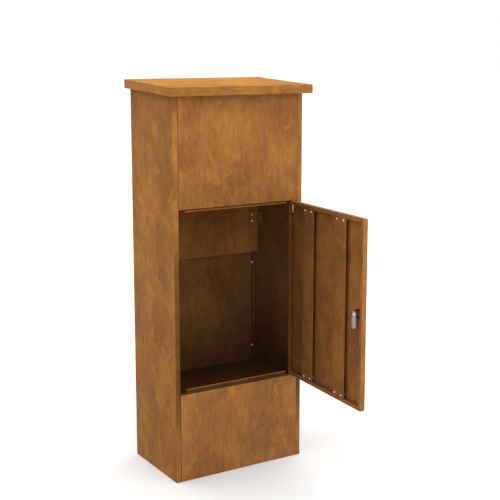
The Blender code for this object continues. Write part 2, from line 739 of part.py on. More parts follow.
def make_hinge(hinge, rust, steel, nylon):
    """The door's own pin turns in the upper panel, and a pin in the lower panel stands in the door."""
    foot = DOOR_TOP - BRACKET_DROP
    seat = foot - SHEET / 2 - GAP
    length = DOOR_TOP + DOOR_END_GAP + SHEET + PIN_REACH - seat
    make_pin("hinge_pin_top", (0, 0, seat), 1, length, steel, hinge)
    seat = OPENING_BOTTOM - SHEET - GAP
    length = DOOR_BOTTOM + SHEET + PIN_REACH - seat
    make_pin("hinge_pin_bottom", (PIVOT.x, PIVOT.y, seat), 1, length, steel)

    wall = DOOR_HINGE_EDGE - SHEET - GAP - SHEET / 2
    path = [(wall, DOOR_TOP - SHEET - 2 * GAP), (wall, foot), (-BRACKET_WIDTH / 2, foot)]
    middle = (DOOR_SKIN + DOOR_INNER - SHEET) / 2
    shape = prism(folded(path), middle - BRACKET_WIDTH / 2, middle + BRACKET_WIDTH / 2, along_y)
    bracket = make_object("hinge_bracket", shape, rust, hinge)
    bore = holes([(0, 0, foot)], PIN_RADIUS + GAP, (0, 0, 1), 4 * SHEET)
    cut(bracket, "hinge_bracket_hole", bore)
    washer = tube(PIN_RADIUS + GAP, WASHER_RADIUS, OPENING_BOTTOM + GAP, DOOR_BOTTOM - GAP)
    make_object("hinge_washer", washer, nylon, hinge)


def make_lock(hinge, core, steel, dark_steel):
    """The lock's fixed body and nut ride on the door. The plug, cam and screw turn in them."""
    bore = PLUG_RADIUS + GAP
    profile = [
        (bore, -LOCK_BEZEL),
        (LOCK_BEZEL_RADIUS * 0.8, -LOCK_BEZEL),
        (LOCK_BEZEL_RADIUS, -LOCK_BEZEL * 0.4),
        (LOCK_BEZEL_RADIUS, -GAP),
        (LOCK_BODY_RADIUS, -GAP),
        (LOCK_BODY_RADIUS, LOCK_BODY_DEPTH),
        (bore, LOCK_BODY_DEPTH),
    ]
    body = ring_from(profile, 32)
    make_object("lock_body", moved(body, up=(0, 1, 0)), steel, hinge, LOCK_PLACE)

    nut = nut_shape(LOCK_NUT_WIDTH, LOCK_NUT, LOCK_BODY_RADIUS + GAP)
    seat = LOCK_PLACE + Vector((0, SHEET + GAP, 0))
    make_object("lock_nut", moved(nut, up=(0, 1, 0)), dark_steel, hinge, seat)

    cam_front = LOCK_BODY_DEPTH + GAP
    cam_back = cam_front + CAM_SHEET
    plug_profile = [(0, -LOCK_BEZEL), (PLUG_RADIUS, -LOCK_BEZEL), (PLUG_RADIUS, LOCK_BODY_DEPTH)]
    plug_profile += [(0, LOCK_BODY_DEPTH)]
    plug = make_object("lock_plug", moved(turned(plug_profile, 24), up=(0, 1, 0)), steel, core)
    tail = PLUG_TAIL / 2
    tail_shape = box((-tail, LOCK_BODY_DEPTH - SHEET, -tail), (tail, cam_back, tail))
    join(plug, "lock_plug_tail", tail_shape)
    keyway = (KEYWAY_WIDTH / 2, KEYWAY_LENGTH / 2)
    cut_low = (-keyway[0], -LOCK_BEZEL - SHEET, -keyway[1])
    cut(plug, "lock_plug_keyway", box(cut_low, (keyway[0], KEYWAY_DEPTH - LOCK_BEZEL, keyway[1])))
    thread = cylinder(CAM_SCREW_SHANK + GAP, LOCK_BODY_DEPTH - 2 * SHEET, cam_back + SHEET, 16)
    cut(plug, "lock_plug_thread", moved(thread, up=(0, 1, 0)))

    cam = make_object("lock_cam", prism(cam_outline(), cam_front, cam_back, along_y), steel, core)
    square = tail + GAP
    hole = box((-square, cam_front - SHEET, -square), (square, cam_back + SHEET, square))
    cut(cam, "lock_cam_hole", hole)

    screw_profile = [
        (0, -CAM_SHEET - SHEET),
        (CAM_SCREW_SHANK, -CAM_SHEET - SHEET),
        (CAM_SCREW_SHANK, 0),
        (CAM_SCREW_RADIUS, 0),
        (CAM_SCREW_RADIUS, CAM_SCREW_HEAD * 0.6),
        (CAM_SCREW_RADIUS * 0.7, CAM_SCREW_HEAD),
        (SCREW_RECESS_RADIUS, CAM_SCREW_HEAD),
        (0, CAM_SCREW_HEAD - SCREW_RECESS),
    ]
    screw = moved(turned(screw_profile, 20), (0, cam_back + GAP, 0), (0, 1, 0))
    make_object("cam_screw", screw, steel, core)


def ring_from(profile, sides):
    """A closed ring about Z with the section that the profile goes round."""
    shape = bmesh.new()
    rings = []
    for radius, height in profile:
        angles = [2 * math.pi * step / sides for step in range(sides)]
        rings.append([shape.verts.new((radius * math.cos(a), radius * math.sin(a), height)) for a in angles])
    for index, ring in enumerate(rings):
        other = rings[(index + 1) % len(rings)]
        for step in range(sides):
            following = (step + 1) % sides
            shape.faces.new((ring[step], ring[following], other[following], other[step]))
    return shape


def cam_outline():
    """A flat bar that hangs from the plug, with round ends."""
    radius = CAM_WIDTH / 2
    steps = 8
    points = []
    for step in range(steps + 1):
        angle = math.pi * step / steps
        points.append((radius * math.cos(angle), radius * math.sin(angle)))
    tip = CAM_REACH - radius
    for step in range(steps + 1):
        angle = math.pi + math.pi * step / steps
        points.append((radius * math.cos(angle), -tip + radius * math.sin(angle)))
    return points


def make_flap(axis, rust, steel):
    """The letter flap hangs outside the slot from a pin between two ears."""
    inner = FLAP_PIN_RADIUS + FLAP_PIN_CLEARANCE
    outer = inner + FLAP_SHEET
    drop = SLOT_HEIGHT + 2 * FLAP_OVERLAP
    lip = GAP - FLAP_STAND_OFF
    steps = 12
    eye = []
    for step in range(steps + 1):
        angle = math.pi * 1.5 * step / steps
        eye.append((outer * math.cos(angle), outer * math.sin(angle)))
    for step in range(steps, -1, -1):
        angle = math.pi * 1.5 * step / steps
        eye.append((inner * math.cos(angle), inner * math.sin(angle)))
    plate = [
        (inner, -drop + FLAP_SHEET),
        (lip, -drop + FLAP_SHEET),
        (lip, -drop),
        (outer, -drop),
    ]
    flap = make_object("letter_flap", prism(eye + plate, -FLAP_HALF, FLAP_HALF, along_x), rust, axis)
    flap.location = (0, 0, 0)

    reach = FLAP_HALF + FLAP_EAR_GAP + SHEET
    pin = moved(cylinder(FLAP_PIN_RADIUS, -reach - SHEET, reach + SHEET, 16), up=(1, 0, 0))
    make_object("flap_pin", pin, steel, place=FLAP_PIN_PLACE)
    for side, word in ((-1, "left"), (1, "right")):
        ear = FLAP_HALF + FLAP_EAR_GAP + SHEET / 2
        back = BACK_OUTER + GAP + SHEET / 2
        path = [(ear + FLAP_EAR, back), (ear, back), (ear, back + FLAP_STAND_OFF + FLAP_EAR / 2)]
        outline = [(side * x, y) for x, y in folded(path)]
        low = FLAP_PIN_PLACE.z - FLAP_EAR
        name = f"flap_ear_{word}"
        bracket = make_object(name, prism(outline, low, FLAP_PIN_PLACE.z + FLAP_EAR), rust)
        place = (side * ear, FLAP_PIN_PLACE.y, FLAP_PIN_PLACE.z)
        cut(bracket, f"{name}_hole", holes([place], inner, (1, 0, 0), 4 * SHEET))


def make_empty(name, place, turn=0.0, parent=None):
    empty = bpy.data.objects.new(name, None)
    bpy.context.scene.collection.objects.link(empty)
    empty.parent = parent
    empty.location = place
    empty.rotation_euler.z = turn
    return empty


def make_panel_screws(steel):
    """Screws from inside that hold the front panels to the jambs and the back to the rear flanges."""
    for side, word in ((-1, "left"), (1, "right")):
        for panel, heights in (("lower", LOWER_SEAM_SCREWS), ("upper", UPPER_SEAM_SCREWS)):
            names = [f"{panel}_panel_screw_{word}_{number}" for number in range(1, len(heights) + 1)]
            places = seam_screw_places(side, heights)
            add_screws(names, places, (-side, 0, 0), 2 * SHEET + SEAM + GAP, steel)
        names = [f"back_panel_screw_{word}_{number}" for number in range(1, len(BACK_SCREW_HEIGHTS) + 1)]
        add_screws(names, back_screw_places(side), (0, -1, 0), 2 * SHEET + GAP, steel)


def main():
    clear_scene()
    materials = make_materials()
    rust, rust_dark, steel = materials["rust"], materials["rust_dark"], materials["steel"]
    make_side_panel("left_side_panel", -1, rust)
    make_side_panel("right_side_panel", 1, rust)
    make_front_panel("upper_front_panel", True, rust)
    make_front_panel("lower_front_panel", False, rust)
    make_back_panel(rust)
    make_floor(rust_dark)
    make_base(rust_dark)
    make_lid(rust)
    make_lid_nuts(steel)
    make_baffle(rust_dark, steel)
    make_panel_screws(steel)

    hinge = make_empty("door_hinge_axis", PIVOT, DOOR_OPEN_ANGLE)
    make_door_panel(hinge, rust)
    make_stiffeners(hinge, rust_dark, steel)
    make_hinge(hinge, rust_dark, steel, materials["nylon"])
    core = make_empty("lock_axis", LOCK_PLACE, parent=hinge)
    make_lock(hinge, core, steel, materials["dark_steel"])

    flap_axis = make_empty("flap_axis", FLAP_PIN_PLACE)
    make_flap(flap_axis, rust, steel)


main()
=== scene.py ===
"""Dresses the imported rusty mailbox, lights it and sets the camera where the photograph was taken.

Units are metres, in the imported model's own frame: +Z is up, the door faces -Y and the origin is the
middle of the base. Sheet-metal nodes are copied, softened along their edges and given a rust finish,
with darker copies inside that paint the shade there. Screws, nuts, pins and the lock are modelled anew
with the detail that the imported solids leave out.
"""
from __future__ import annotations

import logging
import math
from dataclasses import dataclass, field, replace
from enum import Enum
from typing import Callable, ClassVar, Iterable, Optional, Sequence, Union

import bmesh
import bpy
from mathutils import Euler, Matrix, Vector

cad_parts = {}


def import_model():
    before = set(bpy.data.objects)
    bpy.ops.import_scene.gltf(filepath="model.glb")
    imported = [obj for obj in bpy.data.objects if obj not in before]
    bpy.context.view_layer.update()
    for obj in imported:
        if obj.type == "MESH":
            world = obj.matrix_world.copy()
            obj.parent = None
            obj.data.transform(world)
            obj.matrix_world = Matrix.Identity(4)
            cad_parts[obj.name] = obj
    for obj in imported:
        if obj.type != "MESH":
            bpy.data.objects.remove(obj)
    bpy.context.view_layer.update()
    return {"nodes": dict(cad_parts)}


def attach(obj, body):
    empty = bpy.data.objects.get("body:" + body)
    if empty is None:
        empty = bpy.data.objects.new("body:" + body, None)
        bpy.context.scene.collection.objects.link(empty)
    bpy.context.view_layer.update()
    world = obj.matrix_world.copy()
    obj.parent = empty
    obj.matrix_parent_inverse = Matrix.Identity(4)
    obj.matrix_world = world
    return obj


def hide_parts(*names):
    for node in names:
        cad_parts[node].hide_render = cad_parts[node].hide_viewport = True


LOG = logging.getLogger("mailbox")

Colour = tuple[float, float, float]
Place = tuple[float, float, float]
Outline = list[tuple[float, float]]
Socket = bpy.types.NodeSocket
Input = Union[bpy.types.NodeSocket, float, Sequence[float]]
FaceTest = Callable[[Vector, Vector], bool]
FaceChoice = Callable[[Vector, Vector], int]
Nodes = dict[str, bpy.types.Object]

MM = 0.001
UP = Vector((0.0, 0.0, 1.0))
TO_FRONT = Vector((0.0, -1.0, 0.0))
TO_RIGHT = Vector((1.0, 0.0, 0.0))
# The door stands open at rest. Its own inside faces this way.
OPEN_ANGLE = math.radians(86.5)
DOOR_IN = Vector((-math.sin(OPEN_ANGLE), math.cos(OPEN_ANGLE), 0.0))


class Body(str, Enum):
    """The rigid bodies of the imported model."""

    CABINET = "cabinet"
    DOOR = "door"
    LOCK_CORE = "lock_core"
    FLAP = "flap"


class Slot(str, Enum):
    """The record's material slots."""

    RUST = "rusted_steel"
    RUST_INSIDE = "rusted_steel_inside"
    STEEL = "bright_steel"
    DARK_STEEL = "dark_steel"
    NYLON = "nylon"


def srgb(red: float, green: float, blue: float) -> Colour:
    """Turns a colour as seen on screen, 0 to 255, into the linear values that shaders take.

    Args:
        red: Red, 0 to 255.
        green: Green, 0 to 255.
        blue: Blue, 0 to 255.

    Returns:
        The colour in linear light.
    """

    def linear(value: float) -> float:
        """One channel in linear light."""
        value /= 255
        return value / 12.92 if value <= 0.04045 else ((value + 0.055) / 1.055) ** 2.4

    return linear(red), linear(green), linear(blue)


@dataclass(frozen=True)
class Pattern:
    """A noise pattern on a surface. Its values run from nought to one, most of them near a half.

    Attributes:
        scale: How fine it is.
        detail: How many finer layers it has.
        roughness: How strong those are.
        distortion: How far it is swirled.
        low: The value at which it starts to show.
        high: The value from which it shows fully.
    """

    scale: float
    detail: float
    roughness: float
    distortion: float = 0.0
    low: float = 0.3
    high: float = 0.7


@dataclass(frozen=True)
class Fade:
    """A stretch over which a surface goes from dark to its full brightness.

    Attributes:
        axis: The axis that the places are on.
        dark: Where it is darkest.
        full: Where it is as bright as elsewhere.
        share: How bright it is where it is darkest.
        about: If given, both places are distances from this one.
    """

    axis: str
    dark: float
    full: float
    share: float
    about: Optional[float] = None


# Heights of the lower panel's upper edge and of the upper panel's lip, and how far from the middle
# the back panel meets the rear flanges.
SILL = 0.233
UPPER_LIP = 0.6925
REAR_CREASE = 176.1 * MM

# Painted shade: the outside darkens towards the ground.
LOW_PAINTED_SHADE = Fade("Z", 0.0, 0.7, 0.9)
# The jambs are darker around mid-height.
JAMB_DARKER_MIDDLE = Fade("Z", 0.155, 0.31, 0.43, about=0.36)
# Painted shade on the front panels' inner faces below the lower panel's upper edge.
SILL_PAINTED_SHADE = Fade("Z", SILL - 1.0 * MM, SILL + 1.0 * MM, 0.3)
# Painted shade on the front panels' inner faces near the upper panel's lip line, darkest within 4 mm of it.
UPPER_LIP_PAINTED_SHADE = Fade("Z", 4.0 * MM, 8.0 * MM, 0.35, about=UPPER_LIP)
# Painted shade in the inner corners where the back panel meets the rear flanges.
CREASE_PAINTED_SHADE = tuple(Fade("X", 0.9 * MM, 2.6 * MM, 0.3, about=side * REAR_CREASE) for side in (-1, 1))


class NodeGraph:
    """A short way to write the node tree of a material or a world."""

    def __init__(self, owner: Union[bpy.types.Material, bpy.types.World]) -> None:
        """Takes up the node tree of a new material or world."""
        owner.use_nodes = True
        self.tree = owner.node_tree

    def add(
        self,
        kind: str,
        settings: Optional[dict[str, object]] = None,
        inputs: Optional[dict[Union[str, int], Input]] = None,
    ) -> bpy.types.Node:
        """Adds a node.

        Args:
            kind: The node's type.
            settings: Values of the node's own properties.
            inputs: What goes into its sockets: a socket of another node to link, or a constant.

        Returns:
            The new node.
        """
        node = self.tree.nodes.new(kind)
        for key, value in (settings or {}).items():
            setattr(node, key, value)
        self.fill(node, inputs or {})
        return node

    def fill(self, node: bpy.types.Node, inputs: dict[Union[str, int], Input]) -> None:
        """Fills a node's sockets.

        Args:
            node: The node.
            inputs: What goes into its sockets: a socket of another node to link, or a constant.
        """
        for key, value in inputs.items():
            if isinstance(value, bpy.types.NodeSocket):
                self.tree.links.new(value, node.inputs[key])
            else:
                node.inputs[key].default_value = value

    def noise(self, place: Socket, pattern: Pattern) -> Socket:
        """A noise pattern's plain values.

        Args:
            place: The coordinates that it follows.
            pattern: The pattern.

        Returns:
            The values.
        """
        inputs = {"Vector": place, "Scale": pattern.scale, "Detail": pattern.detail}
        inputs.update({"Roughness": pattern.roughness, "Distortion": pattern.distortion})
        return self.add("ShaderNodeTexNoise", inputs=inputs).outputs["Fac"]

    def shown(self, place: Socket, pattern: Pattern) -> Socket:
        """How strongly a noise pattern shows, from nought to one."""
        return self.band(self.noise(place, pattern), pattern.low, pattern.high)

    def band(
        self,
        value: Socket,
        low: float = Pattern.low,
        high: float = Pattern.high,
        to_low: float = 0.0,
        to_high: float = 1.0,
    ) -> Socket:
        """Stretches a value from one range to another, with soft ends.

        Args:
            value: The value.
            low: Where the first range starts.
            high: Where the first range ends.
            to_low: Where the second range starts.
            to_high: Where the second range ends.

        Returns:
            The value in the second range.
        """
        inputs = {"Value": value, "From Min": low, "From Max": high, "To Min": to_low, "To Max": to_high}
        node = self.add("ShaderNodeMapRange", {"interpolation_type": "SMOOTHSTEP"}, inputs)
        return node.outputs["Result"]

    def math(self, operation: str, first: Input, second: Input = 0.0) -> Socket:
        """One arithmetic step on two values."""
        return self.add("ShaderNodeMath", {"operation": operation}, {0: first, 1: second}).outputs[0]

    def mix(self, factor: Input, first: Input, second: Input, blend: str = "MIX") -> Socket:
        """Mixes two colours.

        Args:
            factor: How much of the second shows.
            first: The first colour.
            second: The second colour.
            blend: How they are mixed.

        Returns:
            The mixed colour.
        """
        inputs = {0: factor, 6: first, 7: second}
        opaque = {key: (*value, 1.0) if isinstance(value, tuple) else value for key, value in inputs.items()}
        return self.add("ShaderNodeMix", {"data_type": "RGBA", "blend_type": blend}, opaque).outputs[2]

    def cover(self, under: Socket, over: Colour, shown: Socket, share: float) -> Socket:
        """Covers a colour with another where a pattern shows, up to this share."""
        return self.mix(self.math("MULTIPLY", shown, share), under, over)

    def times(self, colour: Socket, value: Socket) -> Socket:
        """Multiplies a colour by a value."""
        grey = self.add("ShaderNodeCombineColor", inputs={0: value, 1: value, 2: value}).outputs[0]
        return self.mix(1.0, colour, grey, "MULTIPLY")

    def ramp(self, value: Socket, stops: Sequence[tuple[float, Colour]]) -> Socket:
        """A colour that follows a value.

        Args:
            value: The value, from nought to one.
            stops: Values and the colours that they give.

        Returns:
            The colour.
        """
        node = self.add("ShaderNodeValToRGB", inputs={"Fac": value})
        elements = node.color_ramp.elements
        while len(elements) < len(stops):
            elements.new(0.5)
        for element, (position, colour) in zip(elements, stops):
            element.position = position
            element.color = (*colour, 1.0)
        return node.outputs["Color"]

    def place(self, stretch: Place, offset: Place) -> Socket:
        """The piece's own coordinates, so that a pattern stays on it.

        Args:
            stretch: The pattern's scale along each axis.
            offset: Moves the pattern.

        Returns:
            The coordinates.
        """
        source = self.add("ShaderNodeTexCoord").outputs["Object"]
        node = self.add("ShaderNodeMapping", inputs={"Vector": source, "Location": offset, "Scale": stretch})
        return node.outputs["Vector"]

    def bump(
        self, height: Socket, strength: float, distance: float, below: Optional[Socket] = None
    ) -> Socket:
        """A bump.

        Args:
            height: Its height, from nought to one.
            strength: How strongly it shows.
            distance: The height that one stands for.
            below: A bump that it lies over.

        Returns:
            The surface's direction with the bump.
        """
        inputs = {"Height": height, "Strength": strength, "Distance": distance}
        if below is not None:
            inputs["Normal"] = below
        return self.add("ShaderNodeBump", inputs=inputs).outputs["Normal"]


@dataclass(frozen=True)
class RustFinish:
    """Steel sheet under an even coat of rust: soft clouds, finer mottling drawn out along the height.

    Attributes:
        name: Name of the material.
        dark: Colour of the darker clouds.
        middle: Colour of most of the surface.
        light: Colour of the lighter clouds.
        bloom: The orange that comes through in places.
        umber: The dull brown of the older patches.
        offset: Moves the pattern, so that it differs from panel to panel.
        patches: How strongly the old brown patches show.
        fades: Where the surface is darker: painted shade lower down, across the insides of the back and the
            door, at the stop lips and in the rear corners; and a darker middle on the jambs.
        along: Which way the strokes are drawn out: 0 across the front, 1 from front to back, 2 up.
        blooms: How strongly the orange shows.
        flecks: How strongly its finest flecks show.
        hues: How far the hue wanders.
        relief: Strength of the fine grain.
    """

    CLOUDS: ClassVar[Pattern] = Pattern(8.5, 6, 0.6, 0.5)
    BLOOM: ClassVar[Pattern] = Pattern(24.0, 8, 0.7, 0.6, low=0.49, high=0.7)
    OLD: ClassVar[Pattern] = Pattern(30.0, 8, 0.72, 0.5, low=0.47, high=0.69)
    FLECKS: ClassVar[Pattern] = Pattern(190.0, 3, 0.6, low=0.58, high=0.7)
    HUES: ClassVar[Pattern] = Pattern(42.0, 4, 0.6, 0.4, low=0.34, high=0.66)
    MOTTLE: ClassVar[Pattern] = Pattern(105.0, 4, 0.6)
    STROKES: ClassVar[Pattern] = Pattern(210.0, 3, 0.6)
    GRAIN: ClassVar[Pattern] = Pattern(700.0, 3, 0.7)
    WAVES: ClassVar[Pattern] = Pattern(7.0, 1, 0.4)
    # How far the clouds, the mottling and the strokes are drawn out: the smaller, the longer.
    EVEN: ClassVar[float] = 0.75
    TALL: ClassVar[float] = 0.36
    BRUSHED: ClassVar[float] = 0.07
    REDDER: ClassVar[Colour] = (0.98, 0.86, 0.92)
    PLAIN: ClassVar[Colour] = (0.96, 0.95, 0.93)
    YELLOWER: ClassVar[Colour] = (0.92, 0.98, 0.86)

    name: str
    dark: Colour
    middle: Colour
    light: Colour
    bloom: Colour
    umber: Colour
    offset: Place = (0.0, 0.0, 0.0)
    patches: float = 0.5
    fades: tuple[Fade, ...] = (LOW_PAINTED_SHADE,)
    along: int = 2
    blooms: float = 0.7
    flecks: float = 0.5
    hues: float = 0.42
    relief: float = 0.3

    def build(self) -> bpy.types.Material:
        """Builds the material.

        Returns:
            The new material.
        """
        material = bpy.data.materials.new(self.name)
        graph = NodeGraph(material)
        even, tall, brushed = (
            graph.place(self.stretch(share), self.offset) for share in (self.EVEN, self.TALL, self.BRUSHED)
        )
        clouds = graph.noise(even, self.CLOUDS)
        mottle = graph.noise(tall, self.MOTTLE)
        strokes = graph.noise(brushed, self.STROKES)
        grain = graph.noise(even, self.GRAIN)

        colour = graph.ramp(graph.band(clouds), [(0.1, self.dark), (0.5, self.middle), (0.9, self.light)])
        colour = graph.cover(colour, self.bloom, graph.shown(even, self.BLOOM), self.blooms)
        colour = graph.cover(colour, self.umber, graph.shown(tall, self.OLD), self.patches)
        colour = graph.cover(colour, self.bloom, graph.shown(tall, self.FLECKS), self.flecks)
        tints = [(0.0, self.REDDER), (0.5, self.PLAIN), (1.0, self.YELLOWER)]
        tint = graph.ramp(graph.shown(tall, self.HUES), tints)
        colour = graph.mix(self.hues, colour, tint, "MULTIPLY")
        for pattern, spread in ((mottle, 0.09), (strokes, 0.07), (grain, 0.1)):
            tone = graph.band(pattern, to_low=1.0 - spread, to_high=1.0 + spread)
            colour = graph.times(colour, tone)
        colour = graph.times(colour, self.brightness(graph))

        waves = graph.bump(graph.noise(even, self.WAVES), strength=0.25, distance=2.0 * MM)
        flakes = graph.bump(mottle, strength=0.2, distance=0.1 * MM, below=waves)
        graph.fill(graph.tree.nodes["Principled BSDF"], {
            "Base Color": colour,
            "Roughness": graph.band(clouds, to_low=0.85, to_high=0.72),
            "Specular IOR Level": 0.08,
            "Normal": graph.bump(grain, strength=self.relief, distance=0.1 * MM, below=flakes),
        })
        return material

    def stretch(self, share: float) -> Place:
        """The scale that draws a pattern out along the strokes.

        Args:
            share: The scale along the strokes.

        Returns:
            The scale along each axis.
        """
        scale = [1.0, 1.0, 1.0]
        scale[self.along] = share
        return tuple(scale)

    def brightness(self, graph: NodeGraph) -> Socket:
        """How bright the fades leave the surface.

        Args:
            graph: The material's node tree.

        Returns:
            The share of its full brightness.
        """
        source = graph.add("ShaderNodeTexCoord").outputs["Object"]
        axes = graph.add("ShaderNodeSeparateXYZ", inputs={"Vector": source}).outputs
        value = 1.0
        for fade in self.fades:
            place = axes[fade.axis]
            if fade.about is not None:
                place = graph.math("ABSOLUTE", graph.math("SUBTRACT", place, fade.about))
            shade = graph.band(place, fade.dark, fade.full, fade.share, 1.0)
            value = graph.math("MULTIPLY", value, shade)
        return value


@dataclass(frozen=True)
class SteelFinish:
    """Plated or bare metal with faint brushing and a few dull spots.

    Attributes:
        name: Name of the material.
        colour: Colour of the metal.
        roughness: Roughness where it is cleanest.
        metallic: One for metal, nought for plastic.
        tarnish: Colour of the dull spots.
        spots: How strongly the spots show.
        uneven: How much rougher the brushing makes it in places.
    """

    SPOTS: ClassVar[Pattern] = Pattern(420.0, 5, 0.65, 0.3, low=0.52, high=0.68)
    BRUSHING: ClassVar[Pattern] = Pattern(2600.0, 2, 0.5)

    name: str
    colour: Colour
    roughness: float
    metallic: float = 1.0
    tarnish: Colour = (0.25, 0.16, 0.09)
    spots: float = 0.3
    uneven: float = 0.12

    def build(self) -> bpy.types.Material:
        """Builds the material.

        Returns:
            The new material.
        """
        material = bpy.data.materials.new(self.name)
        graph = NodeGraph(material)
        place = graph.place((1.0, 1.0, 1.0), (0.3, 0.1, 0.7))
        spots = graph.math("MULTIPLY", graph.shown(place, self.SPOTS), self.spots)
        fine = graph.noise(place, self.BRUSHING)
        rough = graph.band(fine, to_low=self.roughness, to_high=self.roughness + self.uneven)
        graph.fill(graph.tree.nodes["Principled BSDF"], {
            "Base Color": graph.mix(spots, self.colour, self.tarnish),
            "Roughness": graph.math("ADD", rough, graph.math("MULTIPLY", spots, 0.5)),
            "Metallic": self.metallic,
            "Normal": graph.bump(fine, strength=0.15, distance=0.02 * MM),
        })
        return material


class Finish(Enum):
    """Every finish on the mailbox."""

    # The upper panel darkens towards its lower edge: painted shade, the front being lit more brightly higher
    # up.
    UPPER = RustFinish(
        "rust_upper_panel", srgb(148, 96, 51), srgb(160, 106, 53), srgb(169, 114, 57), srgb(190, 127, 50),
        srgb(130, 88, 64), (0.37, 0.2, 0.11), 0.45, (Fade("Z", 0.68, 0.8, 0.8),),
    )
    LOWER = RustFinish(
        "rust_lower_panel", srgb(151, 99, 55), srgb(163, 109, 57), srgb(172, 118, 60), srgb(192, 129, 53),
        srgb(129, 88, 65), (1.7, 0.6, 2.3), 0.5,
    )
    # The front panels' inner faces and stop lips: the lower panel's rust with painted shade below the sill
    # and along the upper lip.
    STOP_LIP = replace(LOWER, name="rust_stop_lips", fades=(SILL_PAINTED_SHADE, UPPER_LIP_PAINTED_SHADE))
    SIDE = RustFinish(
        "rust_side_panels", srgb(142, 93, 49), srgb(155, 103, 51), srgb(164, 111, 53), srgb(186, 124, 49),
        srgb(124, 85, 62), (0.9, 1.3, 0.4), 0.6,
    )
    JAMB = RustFinish(
        "rust_jambs", srgb(152, 99, 52), srgb(165, 110, 54), srgb(174, 118, 57), srgb(192, 129, 50),
        srgb(132, 90, 64), (0.9, 1.3, 0.4), 0.45, (LOW_PAINTED_SHADE, JAMB_DARKER_MIDDLE),
    )
    # The lid's top is lighter than its skirt: partly its own paler rust, partly painted light from above.
    LID = RustFinish(
        "rust_lid", srgb(161, 107, 43), srgb(173, 119, 47), srgb(181, 127, 51), srgb(194, 135, 42),
        srgb(148, 102, 53), (2.9, 0.8, 1.6), 0.35, along=0,
    )
    SKIRT = RustFinish(
        "rust_lid_skirt", srgb(153, 100, 50), srgb(165, 110, 53), srgb(172, 117, 57), srgb(185, 125, 50),
        srgb(142, 95, 62), (2.9, 0.8, 1.6), 0.35, along=0,
    )
    BACK = RustFinish(
        "rust_back_panel", srgb(146, 95, 50), srgb(159, 105, 52), srgb(168, 113, 54), srgb(190, 127, 49),
        srgb(128, 87, 63), (3.3, 2.1, 0.9), 0.5,
    )
    DOOR = RustFinish(
        "rust_door", srgb(152, 98, 50), srgb(166, 109, 53), srgb(174, 117, 55), srgb(194, 129, 49),
        srgb(132, 89, 63), (0.5, 3.1, 1.2), 0.5,
    )
    # Darker copies of the rust for the faces inside the box, under the lid and on the base: painted shade,
    # deepening lower down.
    INSIDE = RustFinish(
        "rust_inside", srgb(104, 67, 36), srgb(114, 75, 38), srgb(121, 81, 41), srgb(132, 86, 38),
        srgb(94, 62, 38), (1.1, 1.9, 3.4), 0.4, (Fade("Z", 0.2, 0.5, 0.34),),
    )
    # Painted shade on the back panel's inside: darker overall, lower down, towards the right and in the rear
    # corners.
    BACK_INSIDE = RustFinish(
        "rust_back_inside", srgb(107, 70, 39), srgb(118, 78, 41), srgb(125, 84, 44), srgb(136, 89, 41),
        srgb(97, 65, 41), (1.1, 1.9, 3.4), 0.4,
        (Fade("Z", 0.2, 0.42, 0.45), Fade("X", 0.17, -0.1, 0.72), *CREASE_PAINTED_SHADE),
    )
    # A darker copy of the rust for the baffle inside the box: painted shade.
    BAFFLE = RustFinish(
        "rust_baffle", srgb(122, 78, 40), srgb(136, 88, 44), srgb(145, 95, 47), srgb(158, 101, 43),
        srgb(108, 70, 44), (2.2, 0.3, 1.9), 0.45,
    )
    # The door's inner faces: a darker copy of its rust that paints the shade there, deepening towards the
    # hinge.
    DOOR_INSIDE = RustFinish(
        "rust_door_inside", srgb(131, 84, 44), srgb(146, 95, 48), srgb(155, 102, 51), srgb(169, 109, 47),
        srgb(116, 76, 48), (2.2, 0.3, 1.9), 0.45, (Fade("Y", -0.1, -0.45, 0.62),),
    )
    STEEL = SteelFinish("zinc_plated_steel", (0.86, 0.84, 0.8), 0.2, spots=0.2)
    CHROME = SteelFinish("plated_lock_face", (0.78, 0.77, 0.75), 0.14, spots=0.12)
    # Dull dark steel for the lock's threaded body and nut; its darkness also paints the shade behind the
    # cam.
    DARK_STEEL = SteelFinish("dull_steel_and_painted_shade", (0.1, 0.08, 0.07), 0.42, spots=0.5)
    CAM = SteelFinish("dull_plated_cam", (0.62, 0.6, 0.56), 0.36, 0.55, spots=0.2)
    NYLON = SteelFinish("nylon", (0.7, 0.68, 0.62), 0.45, 0.0, (0.45, 0.3, 0.18), 0.4)

    def material(self) -> bpy.types.Material:
        """The finish's material, built the first time it is asked for."""
        found = bpy.data.materials.get(self.value.name)
        return found or self.value.build()


